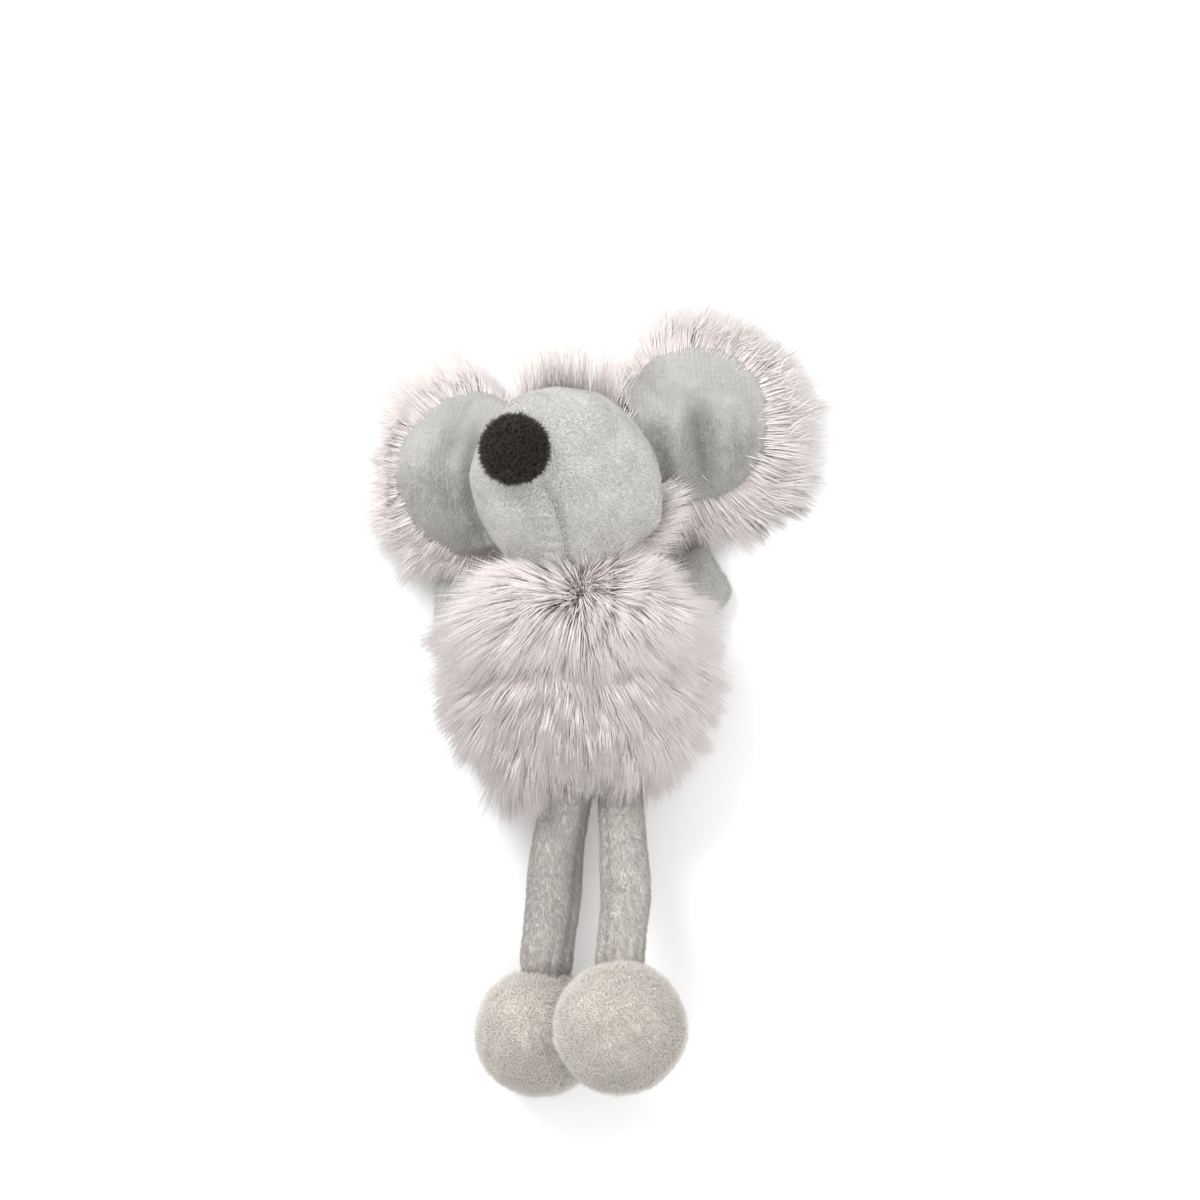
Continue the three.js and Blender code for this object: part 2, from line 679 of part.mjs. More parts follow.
// Leg and foot share the ankle, which both turn about
function makeLeg(side, leg, foot, footZ) {
  const hip = hipPivot(leg);
  const footMiddle = point(foot.x, torsoEndY - foot.drop, footZ);
  const span = foot.radius + leg.radius - ankleSink;
  const ankle = footMiddle.clone().lerp(hip, span / footMiddle.distanceTo(hip));
  const tube = (inset) => solidOf(
    limb(hip, ankle, leg.radius - inset, leg.swell, leg.bow, leg.sag));
  const legBody = new THREE.Group();
  const top = hip.clone().addScaledVector(headwards, leg.radius - velour / 2);
  const opening = solidOf(ball(top, sleeveOpening, limbSides, limbSides / 2));
  legBody.add(legPart(`${side}_leg_sleeve`, cut(tube(0), tube(velour), opening)));
  legBody.add(fillingPart(`${side}_leg_filling`, tube(velour + gap)));

  const footBody = new THREE.Group();
  const towardsFoot = footMiddle.clone().sub(ankle).normalize();
  const tieStart = ankle.clone().addScaledVector(towardsFoot, leg.radius + gap);
  const dimple = solidOf(ball(ankle, leg.radius + gap));
  const bore = solidOf(tie(
    tieStart.clone().addScaledVector(towardsFoot, -overrun), footMiddle,
    thread + gap * 2, knotRadius + gap));
  const pompom = solidOf(ball(footMiddle, foot.radius, ballSides + 4, ballRings + 2));
  footBody.add(footPart(`${side}_foot_pompom`, above(cut(pompom, dimple, bore), 0)));
  footBody.add(threadPart(`${side}_foot_tie`, tie(tieStart, footMiddle, thread, knotRadius)));
  return [legBody, footBody];
}

const mouse = new THREE.Group();
mouse.add(makeTorso(), makeNeck(), makeHead());
mouse.add(makeEar('left', leftEar), makeEar('right', rightEar));
mouse.add(makeArm('left', leftArm, leftEar), makeArm('right', rightArm, rightEar));
mouse.add(makeHip('left', leftLeg), makeHip('right', rightLeg));
mouse.add(...makeLeg('left', leftLeg, leftFoot, leftFootZ));
mouse.add(...makeLeg('right', rightLeg, rightFoot, rightFootZ));

export default mouse;
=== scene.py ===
# %% [markdown]
# # A catnip mouse, dressed in Blender
# The toy is a limp plush mouse that lies on its back: big round ears, a black pompom nose,
# a shaggy bag of a body, flat arms, and two tube legs that end in pompom feet.
# The solids of its source are already in place, and each of them moves with a body.
# This lesson dresses them in real fur, velour and thread, one piece at a time.

# %% Load the frame
import math
from functools import partialmethod

import bmesh
import bpy
import numpy as np
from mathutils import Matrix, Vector, noise


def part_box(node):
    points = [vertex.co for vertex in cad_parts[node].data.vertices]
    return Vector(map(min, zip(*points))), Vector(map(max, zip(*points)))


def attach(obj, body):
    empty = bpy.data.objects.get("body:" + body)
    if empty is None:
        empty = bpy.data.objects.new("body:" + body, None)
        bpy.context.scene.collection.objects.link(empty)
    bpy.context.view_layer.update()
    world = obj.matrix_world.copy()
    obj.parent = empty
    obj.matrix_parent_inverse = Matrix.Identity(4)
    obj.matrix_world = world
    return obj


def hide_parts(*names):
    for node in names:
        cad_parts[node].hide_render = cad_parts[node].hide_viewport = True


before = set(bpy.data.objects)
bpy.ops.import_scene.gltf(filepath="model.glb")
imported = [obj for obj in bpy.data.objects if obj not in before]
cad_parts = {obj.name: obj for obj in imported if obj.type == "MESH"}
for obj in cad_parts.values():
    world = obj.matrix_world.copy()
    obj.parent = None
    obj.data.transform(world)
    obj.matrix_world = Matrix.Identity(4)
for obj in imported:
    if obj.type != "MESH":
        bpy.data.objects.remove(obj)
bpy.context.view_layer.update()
scene = bpy.context.scene
MM = 0.001
print("solids", len(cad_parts))


def placed(name, data):
    made = bpy.data.objects.new(name, data)
    scene.collection.objects.link(made)
    return made


# %% [markdown]
# ## Camera
# The photograph looks straight down on the toy from far away. A long lens high over the floor
# gives the same even view. The middle of the picture lies a little above the toy's chin.

# %% Camera
PICTURE_WIDTH = 221.8
PICTURE_MIDDLE = (3.7, 14.8)
SHARP_HEIGHT = 18
LENS = 300
SENSOR = 36

lens_data = bpy.data.cameras.new("photo_camera")
lens_data.lens = LENS
lens_data.sensor_width = SENSOR
lens_data.clip_start = 0.05
lens_data.clip_end = 20
camera = placed("photo_camera", lens_data)
camera_height = SHARP_HEIGHT + PICTURE_WIDTH * LENS / SENSOR
camera.location = Vector((*PICTURE_MIDDLE, camera_height)) * MM
scene.camera = camera
print("camera height in mm", round(camera_height))

# %% [markdown]
# ## Sizes
# These are the same sizes as in the source, in millimetres and degrees, because the fur has to
# grow from the right places.

# %% Sizes
HEAD = np.array([-2.0, 37.43, 20.5])
HEAD_RADIUS = 18.0
SNOUT_RISE = 19.0
SNOUT_LEAN = (-10.5, 5.2)
FACE_SEAM = 15.0
NOSE = np.array([-12.5, 42.6, 41.6])
NOSE_RADIUS = 6.4
NECK = np.array([-1.0, 18.7, 13.0])
BAG_Y, BAG_Z = -1.0, 12.0
BAG_POWER = 2.35
EAR_TOP = 7.3
EARS = {
    "left": {"middle": (-19.88, 38.37), "turn": 177.0},
    "right": {"middle": (21.17, 47.6), "turn": 23.7},
}
ARMS = {
    "left": {"pivot": (-17.93, 12.6, 7.0), "turn": 177.0},
    "right": {"pivot": (17.93, 12.6, 7.0), "turn": 40.0},
}
ARM_REACH = 11.4
ARM_HALF_WIDTH = 5.8
LEGS = {
    "left": {"hip": (-2.9, -23.2, 11.0), "radius": 5.0, "swell": 0.35, "bow": -0.3, "sag": 2.6},
    "right": {"hip": (7.4, -22.8, 12.4), "radius": 4.6, "swell": 0.3, "bow": 0.9, "sag": 1.2},
}
FEET = {
    "left": {"middle": (-7.6, -65.4, 11.1), "radius": 11.6},
    "right": {"middle": (7.4, -63.8, 29.51), "radius": 11.9},
}

# %% [markdown]
# ## Helpers for forms
# Most soft pieces here are a ball that someone has squeezed into shape. So one helper makes
# an even ball of small triangles, and each piece gives a rule that moves all its points.

# %% Helpers for forms
def unit_ball(level):
    """Points and faces of an even ball of radius 1."""
    form = bmesh.new()
    bmesh.ops.create_icosphere(form, subdivisions=level, radius=1)
    points = np.array([v.co[:] for v in form.verts])
    faces = [[v.index for v in f.verts] for f in form.faces]
    form.free()
    return points, faces


def new_piece(name, points, faces, material=None):
    """A smooth mesh object from points in millimetres."""
    mesh = bpy.data.meshes.new(name)
    mesh.from_pydata((np.asarray(points) * MM).tolist(), [], faces)
    mesh.shade_smooth()
    if material:
        mesh.materials.append(material)
    return placed(name, mesh)


def keep(piece, **layers):
    """Stores how fibres lie (comb), how long they are (pile) and where they grow (cover)."""
    found = piece.data.attributes
    count = len(piece.data.vertices)
    for name, values in layers.items():
        kind, field, shape = "FLOAT", "value", count
        if name == "comb":
            kind, field, shape = "FLOAT_VECTOR", "vector", (count, 3)
        layer = found.get(name) or found.new(name, kind, "POINT")
        layer.data.foreach_set(field, np.broadcast_to(np.asarray(values, np.float32), shape).ravel())


def normals_of(piece):
    found = np.empty(len(piece.data.vertices) * 3, np.float32)
    piece.data.vertex_normals.foreach_get("vector", found)
    return found.reshape(-1, 3).astype(float)


def unit(vectors):
    return vectors / np.maximum(np.linalg.norm(vectors, axis=1, keepdims=True), 1e-9)


def combed(piece, directions):
    """Directions laid flat on a piece's surface."""
    out = normals_of(piece)
    return unit(directions - (directions * out).sum(1, keepdims=True) * out)


def smooth(value, low, high):
    """0 up to low, 1 from high, and a soft step between them."""
    share = np.clip((value - low) / (high - low), 0, 1)
    return share * share * (3 - 2 * share)


def hill(value, width):
    """1 where a value is 0, and softly down to 0 on both sides."""
    return np.exp(-(value / width) ** 2)


def lumps(points, size, seed):
    """Soft noise between about -1 and 1, with lumps of a size in millimetres."""
    shift = Vector((seed * 7.3, seed * 3.1, seed * 5.7))
    return np.array([noise.noise(Vector(p) / size + shift) for p in points])


def drift(points, size, seed):
    return np.stack([lumps(points, size, seed + k) for k in range(3)], 1)


def bearing(points):
    return np.degrees(np.arctan2(points[:, 1], points[:, 0]))


def outline_radius(outline, angle):
    """How far an outline of (angle, radius) pairs reaches at each angle."""
    turns, radii = np.array(outline, float).T
    return np.interp(angle, turns, radii, period=360)


# %% [markdown]
# ## Helpers for node trees
# Trees of nodes are long chains of small sums. A wire below stands for an output, and adding
# or multiplying wires adds the node that does it. So a chain reads like a formula.

# %% Helpers for node trees
class Wire:
    """An output of a node. Its sums and products are wires too."""

    def __init__(self, nodes, socket):
        self.nodes, self.socket = nodes, socket
        self.is_vector = socket.type == "VECTOR"

    def __getitem__(self, out):
        return Wire(self.nodes, self.socket.node.outputs[out])

    def after(self, operation, *others):
        kind = "ShaderNodeVectorMath" if self.is_vector else "ShaderNodeMath"
        return self.nodes.add(kind, self, *others, operation=operation)

    def before(self, operation, other):
        return self.nodes.add("ShaderNodeMath", other, self, operation=operation)

    def __mul__(self, other):
        if self.is_vector and not isinstance(other, tuple):
            sockets = {"Scale": other}
            return self.nodes.add("ShaderNodeVectorMath", self, operation="SCALE", sockets=sockets)
        return self.after("MULTIPLY", other)

    __add__ = partialmethod(after, "ADD")
    __sub__ = partialmethod(after, "SUBTRACT")
    __truediv__ = partialmethod(after, "DIVIDE")
    __pow__ = partialmethod(after, "POWER")
    __rsub__ = partialmethod(before, "SUBTRACT")
    __rtruediv__ = partialmethod(before, "DIVIDE")
    unit = partialmethod(after, "NORMALIZE")


class Nodes:
    """A node group. A socket's value is its default, or a word for its kind."""

    def __init__(self, name, kind, inputs, outputs):
        self.tree = bpy.data.node_groups.new(name, kind)
        for way, sockets in (("INPUT", inputs), ("OUTPUT", outputs)):
            for title, value in sockets.items():
                told = isinstance(value, str)
                sort = value if told else type(value).__name__.title()
                made = self.tree.interface.new_socket(
                    title, in_out=way, socket_type="NodeSocket" + sort)
                if not told:
                    made.default_value = value

    def plug(self, socket, value):
        if isinstance(value, Wire):
            self.tree.links.new(value.socket, socket)
        else:
            socket.default_value = value

    def add(self, kind, *given, out=0, sockets=None, **settings):
        """Adds a node, plugs in what it is given, and hands back one of its outputs."""
        node = self.tree.nodes.new(kind)
        for field, value in settings.items():
            setattr(node, field, value)
        for place, value in [*enumerate(given), *(sockets or {}).items()]:
            self.plug(node.inputs[place], value)
        return Wire(self, node.outputs[out])

    def mixed(self, share, low, high):
        mix = self.add("ShaderNodeMix", data_type="RGBA", out=2)
        for place, value in ((0, share), (6, low), (7, high)):
            self.plug(mix.socket.node.inputs[place], value)
        return mix

    def given(self):
        outputs = self.tree.nodes.new("NodeGroupInput").outputs
        return {socket.name: Wire(self, socket) for socket in outputs}

    def give(self, **results):
        last = self.tree.nodes.new("NodeGroupOutput")
        for title, value in results.items():
            self.plug(last.inputs[title], value)

    def dressed(self, made, finish):
        made = self.add("GeometryNodeSetShadeSmooth", made)
        return self.add("GeometryNodeSetMaterial", made, sockets={"Material": finish})


# %% [markdown]
# ## Colours
# Colours are written as they look on a screen, from 0 to 255, and turned into the linear
# light that Blender mixes. Most finishes run between a dark and a light tone.

# %% Colours
def colour(*levels):
    def linear(level):
        share = level / 255
        return share / 12.92 if share <= 0.04045 else ((share + 0.055) / 1.055) ** 2.4
    return (*map(linear, levels), 1)


def tones(dark, light):
    return colour(*dark), colour(*light)


FUR = tones((255, 246, 243), (255, 247, 245))
BACKING = tones((222, 213, 210), (240, 231, 228))
EAR = tones((188, 187, 182), (215, 214, 209))
# The bare ear velour is a darker copy of the ear tones: painted shade for the shadow the nap casts
# on the cloth.
EAR_BARE_SHADED = tones((160, 159, 154), (181, 180, 175))
FACE = tones((189, 188, 185), (211, 209, 205))
LEG = tones((178, 173, 168), (203, 198, 193))
FOOT = tones((208, 203, 196), (230, 225, 218))
NOSE_TONES = tones((34, 31, 29), (76, 71, 67))
THREAD = tones((160, 155, 149), (196, 192, 186))
FLOOR_COLOUR = colour(250, 250, 250)

# %% [markdown]
# ## Shared shader effects
# The pile of velour lies in patches: brushed one way it looks light, and the other way dark.
# One group gives that for every velour piece: a colour and a height. A second group colours
# single fibres. Each fibre carries a map: across it, the map says how pale the fibre is, and
# along it, how far a spot is from the root. Towards the root a fibre is painted darker, as
# painted shade for the depth of the pile.

# %% Velour effect
velour_effect = Nodes("velour patches", "ShaderNodeTree", {
    "Place": "Vector", "Light": "Color", "Dark": "Color", "Patch Size": 5.0, "Rib Size": 0.9,
    "Rib Depth": 0.0, "Nap Depth": 0.5}, {"Color": "Color", "Height": "Float"})


def velour_nodes(n):
    given = n.given()
    spot = given["Place"]

    def noise_of(place, scale, detail=2.0, distortion=0.0):
        return n.add("ShaderNodeTexNoise", place, sockets={
            "Scale": scale, "Detail": detail, "Distortion": distortion})

    def bands(direction, size):
        return n.add("ShaderNodeTexWave", spot, out=1, bands_direction=direction, sockets={
            "Scale": 1 / MM / size / 3.1416, "Distortion": 2.2, "Detail": 2.0,
            "Detail Scale": 1.5})

    patches = noise_of(spot, 1 / MM / given["Patch Size"], 3.0, 0.8)
    brushed = noise_of(spot * (1.0, 0.3, 0.6), 1300.0, 2.0, 0.5)
    curls = noise_of(spot * (0.4, 1.0, 1.0), 1000.0, 3.0, 1.2)
    grain = noise_of(spot, 3600.0)
    shown = n.add("ShaderNodeMapRange", noise_of(spot, 110.0, 1.0), 0.4, 0.6, 0.15, 1.0)
    knit = bands("X", given["Rib Size"]) * 0.65 + bands("Y", given["Rib Size"] * 1.2) * 0.35
    knit = (knit - 0.5) * given["Rib Depth"] * shown
    nap = (brushed * 0.5 + curls * 0.5 - 0.5) * given["Nap Depth"]
    level = patches * 0.7 + grain * 0.3 + nap * 0.6 + knit * 0.4
    level = n.add("ShaderNodeMapRange", level, 0.32, 0.68, 0.0, 1.0)
    n.give(Color=n.mixed(level, given["Dark"], given["Light"]), Height=grain * 0.5 + (nap + knit))


velour_nodes(velour_effect)

# %% Fibre effect
FIBRE_MAP = "OFBake"
fibre_effect = Nodes("fibre colours", "ShaderNodeTree", {
    "Root": "Color", "Tip": "Color", "Pale": "Color", "Rarity": 2.5},
    {"Color": "Color", "Rough": "Float"})


def fibre_colour_nodes(n):
    given = n.given()
    which = n.add("ShaderNodeSeparateXYZ", n.add("ShaderNodeUVMap", uv_map=FIBRE_MAP))
    along = which[1]
    # Towards its root a fibre gets darker: painted shade for the depth of the pile.
    shade = n.mixed(along ** 0.6, given["Root"], given["Tip"])
    n.give(Color=n.mixed(which ** given["Rarity"] * 0.8, shade, given["Pale"]),
           Rough=0.62 - along * 0.12)


fibre_colour_nodes(fibre_effect)


# %% [markdown]
# ## Materials
# Each finish is one material. The groups give what changes over the surface, and what is the
# same all over, such as the sheen of the pile, is set on the shader itself.

# %% Materials
CLOTH_MAP = "cloth"


def set_inputs(node, **values):
    for title, value in values.items():
        node.inputs[title.replace("_", " ")].default_value = value


def finished(name, sheen, roughness, specular, effect, **values):
    material = bpy.data.materials.new(name)
    material.use_nodes = True
    tree = material.node_tree
    shader = tree.nodes["Principled BSDF"]
    set_inputs(shader, Roughness=roughness, Specular_IOR_Level=specular, Sheen_Weight=sheen,
               Sheen_Roughness=0.5)
    group = tree.nodes.new("ShaderNodeGroup")
    group.node_tree = effect.tree
    set_inputs(group, **values)
    tree.links.new(group.outputs["Color"], shader.inputs["Base Color"])
    return material, shader, group


def velour_material(name, dark, light, patch_size, rib_size=0.9, rib_depth=0.0, nap_depth=0.4,
                    charted=False):
    material, shader, group = finished(
        name, 0.35, 0.92, 0.15, velour_effect, Light=light, Dark=dark, Patch_Size=patch_size,
        Rib_Size=rib_size, Rib_Depth=rib_depth, Nap_Depth=nap_depth)
    nodes, link = material.node_tree.nodes, material.node_tree.links.new
    raised = nodes.new("ShaderNodeBump")
    set_inputs(raised, Strength=0.3, Distance=0.4 * MM)
    place = nodes.new("ShaderNodeUVMap" if charted else "ShaderNodeTexCoord")
    if charted:
        place.uv_map = CLOTH_MAP
    link(place.outputs["UV" if charted else "Object"], group.inputs["Place"])
    link(group.outputs["Height"], raised.inputs["Height"])
    link(raised.outputs["Normal"], shader.inputs["Normal"])
    return material


def fibre_material(name, root, tip, pale, sheen=0.1, specular=0.15, rarity=1.6):
    material, shader, group = finished(
        name, sheen, 0.6, specular, fibre_effect,
        Root=root, Tip=tip, Pale=colour(*pale), Rarity=rarity)
    material.node_tree.links.new(group.outputs["Rough"], shader.inputs["Roughness"])
    return material


fur_cloth = velour_material("knit backing of the fur", *BACKING, 4.0)
# Ear and arm velour take the darker bare tones: painted shade under the nap.
ear_cloth = velour_material("ear velour", *EAR_BARE_SHADED, 6.0, 0.9, 0.5, 0.5, True)
face_cloth = velour_material("face velour", *FACE, 8.0, nap_depth=0.3)
leg_cloth = velour_material("leg velour", *LEG, 5.0, 0.8, 0.12, 0.22, True)
neck_cloth = velour_material("neck velour", *EAR, 4.0)
foot_core = velour_material("foot pompom core", *FOOT, 5.0, nap_depth=0.1)
nose_core = velour_material("nose pompom core", *NOSE_TONES, 2.0)
thread_finish = velour_material("sewing thread", *THREAD, 0.8)
tack_finish = velour_material("dark tacking thread", *NOSE_TONES, 0.8)
fur_fibre = fibre_material("long fur fibre", *FUR, (255, 252, 247), 0.2, 0.45, 2.5)
ear_fibre = fibre_material("ear nap fibre", *EAR, (226, 225, 220))
face_fibre = fibre_material("face nap fibre", *FACE, (236, 234, 231), specular=0.12)
leg_fibre = fibre_material("leg nap fibre", *LEG, (214, 209, 203))
foot_fibre = fibre_material("foot pompom fibre", *FOOT, (243, 239, 232), specular=0.12)
nose_fibre = fibre_material("nose pompom fibre", *NOSE_TONES, (168, 160, 152), 0.0, rarity=14.0)
print("materials", len(bpy.data.materials))

# %% [markdown]
# ## The fibre tree
# Blender's own hair is not kept as a mesh, and each fibre here has to be real geometry. So a
# Geometry Nodes tree strews points over a backing, stands a thin three-sided spike on each,
# and bends it: it starts out of the cloth and ends in the direction in which the pile is
# combed. Neighbours lean together into tufts. The backing tells each fibre its combed
# direction, its length and whether it grows at all.

# %% The fibre tree
fibre_tree = Nodes("grown fibres", "GeometryNodeTree", {
    "Backing": "Geometry", "Density": 10e6, "Tufts": 0.5e6, "Tufting": 0.5, "Length": 0.012,
    "Uneven": 0.25, "Thickness": 0.00012, "Rise": 0.8, "Rest Rise": 0.1, "Frizz": 0.15,
    "Tousle": 0.2, "Stray": 0.1, "Droop": 0.1, "Bends": 2, "Clouds": 150.0, "Seed": 1,
    "Floor": 0.0001, "Finish": "Material"}, {"Fibres": "Geometry"})


def fibre_nodes(n):
    given = n.given()
    seed = given["Seed"]

    def named(name, kind="FLOAT"):
        return n.add("GeometryNodeInputNamedAttribute", name, data_type=kind)

    def strewn(density, own_seed):
        return n.add("GeometryNodeDistributePointsOnFaces", given["Backing"], sockets={
            "Density": density * named("cover"), "Seed": own_seed})

    def random_way(which, shift):
        return n.add("FunctionNodeRandomValue", (-1.0, -1.0, -1.0), (1.0, 1.0, 1.0),
                     data_type="FLOAT_VECTOR", sockets={"ID": which, "Seed": seed + shift})

    def random_share(which, shift):
        return n.add("FunctionNodeRandomValue", out=1, data_type="FLOAT",
                     sockets={"ID": which, "Seed": seed + shift})

    def captured(geometry, **facts):
        """Holds on to facts, whatever happens to the geometry later."""
        node = n.tree.nodes.new("GeometryNodeCaptureAttribute")
        for title, value in facts.items():
            node.capture_items.new("VECTOR" if value.is_vector else "FLOAT", title)
            n.plug(node.inputs[title], value)
        n.plug(node.inputs[0], geometry)
        return Wire(n, node.outputs[0])

    roots = strewn(given["Density"], seed)
    outward = roots["Normal"]
    tufts = strewn(given["Tufts"], seed + 1)
    spot = n.add("GeometryNodeInputPosition")
    which = n.add("GeometryNodeInputIndex")
    tuft = n.add("GeometryNodeSampleNearest", tufts, spot)
    to_tuft = n.add("GeometryNodeSampleIndex", tufts, spot, tuft, data_type="FLOAT_VECTOR") - spot
    aside = to_tuft.after("LENGTH")[1]

    comb = named("comb", "FLOAT_VECTOR")
    own = random_way(which, 2)
    start = (outward * given["Rise"] + comb * 0.6 + own * (given["Frizz"] * 0.5)).unit()
    stray = random_share(which, 9).after("LESS_THAN", given["Stray"])
    wild = given["Frizz"] * (stray * 2.0 + 1.0)
    droop = n.add("ShaderNodeCombineXYZ", 0.0, 0.0, given["Droop"] * -1.0)
    end = outward * given["Rest Rise"] + comb + own * wild
    end = (end + random_way(tuft, 3) * given["Tousle"] + droop).unit()

    own_length = random_share(which, 4)
    shorter = given["Uneven"] * (own_length * own_length + random_share(tuft, 5) * 0.5)
    joined = given["Tufting"] * (1.0 - stray)
    length = given["Length"] * named("pile") * (1.0 - shorter) - aside * (joined * 0.8)
    length = length.after("MAXIMUM", given["Length"] * 0.15)
    clouds = n.add("ShaderNodeTexNoise", spot, sockets={"Scale": given["Clouds"], "Detail": 1.0})
    clouds = n.add("ShaderNodeMapRange", clouds, 0.38, 0.62, 0.0, 1.0)
    shade = random_share(which, 6) * 0.4 + random_share(tuft, 7) * 0.25 + clouds * 0.35
    side = end.after("CROSS_PRODUCT", random_way(which, 8)).unit()
    other = end.after("CROSS_PRODUCT", side).unit()
    held = captured(roots, root=spot, start=start * length, end=end * length,
                    pull=to_tuft * joined, side=side, other=other, shade=shade)

    spike = n.add("GeometryNodeMeshCone", sockets={
        "Vertices": 3, "Side Segments": given["Bends"], "Radius Top": 0.0,
        "Radius Bottom": 1.0, "Depth": 1.0})
    rings = captured(spike, place=spot)
    place = n.add("ShaderNodeSeparateXYZ", rings["place"])
    along = place[2]
    made = n.add("GeometryNodeInstanceOnPoints", sockets={"Points": held, "Instance": rings})
    made = n.add("GeometryNodeRealizeInstances", made)

    squared = along * along
    late = squared * 0.5
    bent = held["start"] * (along - late) + held["end"] * late + held["pull"] * along ** 1.3
    ring = n.add("ShaderNodeCombineXYZ", place, place[1], 0.0).unit()
    ring = n.add("ShaderNodeSeparateXYZ", ring)
    width = given["Thickness"] * (1.0 - squared)
    rim = held["side"] * ring + held["other"] * ring[1]
    parts = n.add("ShaderNodeSeparateXYZ", held["root"] + bent + rim * width)
    over_floor = parts[2].after("MAXIMUM", given["Floor"])
    moved = n.add("ShaderNodeCombineXYZ", parts, parts[1], over_floor)
    made = n.add("GeometryNodeSetPosition", made, sockets={"Position": moved})
    places = n.add("ShaderNodeCombineXYZ", held["shade"], along, 0.0)
    made = n.add("GeometryNodeStoreNamedAttribute", made, data_type="FLOAT2", domain="CORNER",
                 sockets={"Name": FIBRE_MAP, "Value": places})
    n.give(Fibres=n.dressed(made, given["Finish"]))


fibre_nodes(fibre_tree)


# %% [markdown]
# ## Growing a piece
# The modifier's inputs are known by identifiers, so a small table turns our words into them.
# The result is copied out as a plain mesh, and the live tree is thrown away.

# %% Growing a piece
def plain_mesh(backing, group, values, name):
    """The mesh that a tree makes from a backing, as a new object."""
    modifier = backing.modifiers.new("growing", "NODES")
    modifier.node_group = group.tree
    names = {item.name: item.identifier for item in group.tree.interface.items_tree
             if item.item_type == "SOCKET" and item.in_out == "INPUT"}
    for title, value in values.items():
        modifier[names[title]] = value
    depsgraph = bpy.context.evaluated_depsgraph_get()
    mesh = bpy.data.meshes.new_from_object(backing.evaluated_get(depsgraph))
    backing.modifiers.remove(modifier)
    mesh.name = name
    for attribute in [a.name for a in mesh.attributes if a.name in ("cover", "comb", "pile")]:
        mesh.attributes.remove(mesh.attributes[attribute])
    return placed(name, mesh)


def triangles(piece):
    return sum(len(p.vertices) - 2 for p in piece.data.polygons)


def dress(piece, body, slot, *nodes, fill=None):
    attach(piece, body)
    if nodes:
        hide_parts(*nodes)
    return piece


def grow(name, backing, finish, body, slot, **values):
    """Grows fibres on a backing; lengths in millimetres, densities in fibres per mm2."""
    told = {"Finish": finish}
    for title, value in values.items():
        if title in ("Length", "Thickness", "Floor"):
            value *= MM
        if title in ("Density", "Tufts"):
            value /= MM * MM
        told[title.replace("_", " ")] = value
    piece = plain_mesh(backing, fibre_tree, told, name)
    print(name, triangles(piece), "triangles")
    return dress(piece, body, slot)


# %% [markdown]
# ## Torso
# The torso is a small stuffed bag of long-pile fabric, modelled as a boxy ball, flat where it
# rests. The pile is combed away from the knot at the neck, like the rays of a star. It grows
# in four patches, left and right, front and back, so that no piece gets too heavy. A fifth
# piece, of short fur, fills the knot, the sides and the lower end, where the backing would
# show through.

# %% Torso bag
SIDE_PILE, FRONT_PILE, BACK_PILE, END_PILE = 8.5, 6.4, 3.2, 4.2
STAR = np.array([0.0, 15.4, 8.0])

ball, ball_faces = unit_ball(6)
ball_x, ball_y, ball_z = ball.T
boxy = ball * ((np.abs(ball) ** BAG_POWER).sum(1) ** (-1 / BAG_POWER))[:, None]
across, along, up = boxy.T
x = across * (24.5 - SIDE_PILE) * (1 + 0.12 * along)
y = BAG_Y + along * np.where(along > 0, 17.5 - END_PILE / 3, 17.5 - END_PILE)
z = BAG_Z + up * np.where(up > 0, 16 - FRONT_PILE, 12.5 - BACK_PILE)
collar = smooth(y, 4, 13) * smooth(z, 11, 17) * (1 - smooth(np.abs(x), 8, 16))
bag = np.stack([x, y + collar * 2.8, np.maximum(z + collar * 2.2, 2.2)], 1)
torso_skin = new_piece("torso_skin", bag, ball_faces, fur_cloth)
print("torso skin", len(ball_faces), "triangles")

# %% The lie of the torso's pile
x, y, z = bag.T
wide = np.abs(x)
between = 1 - smooth(wide, 3, 10)
rays = bag - STAR - between[:, None] * [0, 3.2, 0]
far = np.hypot(rays[:, 0], rays[:, 1])
level = 0.85 * np.maximum(smooth(wide, 6, 15), smooth(-y, 11, 15))[:, None]
lie = combed(torso_skin, rays) * (1 - level) + unit(rays * [1, 1, 0.12]) * level
upright = ((1 - smooth(far, 3.5, 12)) * smooth(z, 13, 17))[:, None]
spread = unit(rays * [1, 1, 0]) * np.minimum(far / 7, 0.75)[:, None]
spread += 0.5 * drift(bag, 5, 21) * [1, 1, 0]
spread[:, 1] += 0.3 * smooth(y, 14, 17) - 0.25 * between * (1 - smooth(y, 11, 15))
lie = unit(lie) * (1 - upright) + unit(spread + [0, 0, 0.75]) * upright
lie = unit(unit(lie) + 0.22 * drift(bag, 9, 23) * [1, 1, 0])
hanging = (0.5 * smooth(-y, -3, 8) * (1 - 0.8 * smooth(x, 11, 15)))[:, None]
lie = unit(lie * (1 - hanging) + hanging * [0, -1, 0])
lie[:, 2] += 0.3 * smooth(-y, 9, 13) * smooth(z, 13, 16)
lie[:, 1] -= 0.12 * smooth(-x, 5, 10) * smooth(y, 6, 12)
shoulder = smooth(-x, 4, 9) * smooth(y, 6, 12) * smooth(z, 7, 11)
lower = (0.2 * smooth(wide, 4, 9) - 0.12 - 0.24 * hill(x - 3.5, 5.5) - 0.12 * hill(x + 6, 4)
         + 0.3 * smooth(-x, 8, 12))
keep(torso_skin, comb=lie * 1.1, cover=1,
     pile=1.0 + 0.2 * smooth(y, 8, 15) + 0.26 * shoulder + smooth(-y, 5, 12) * lower)

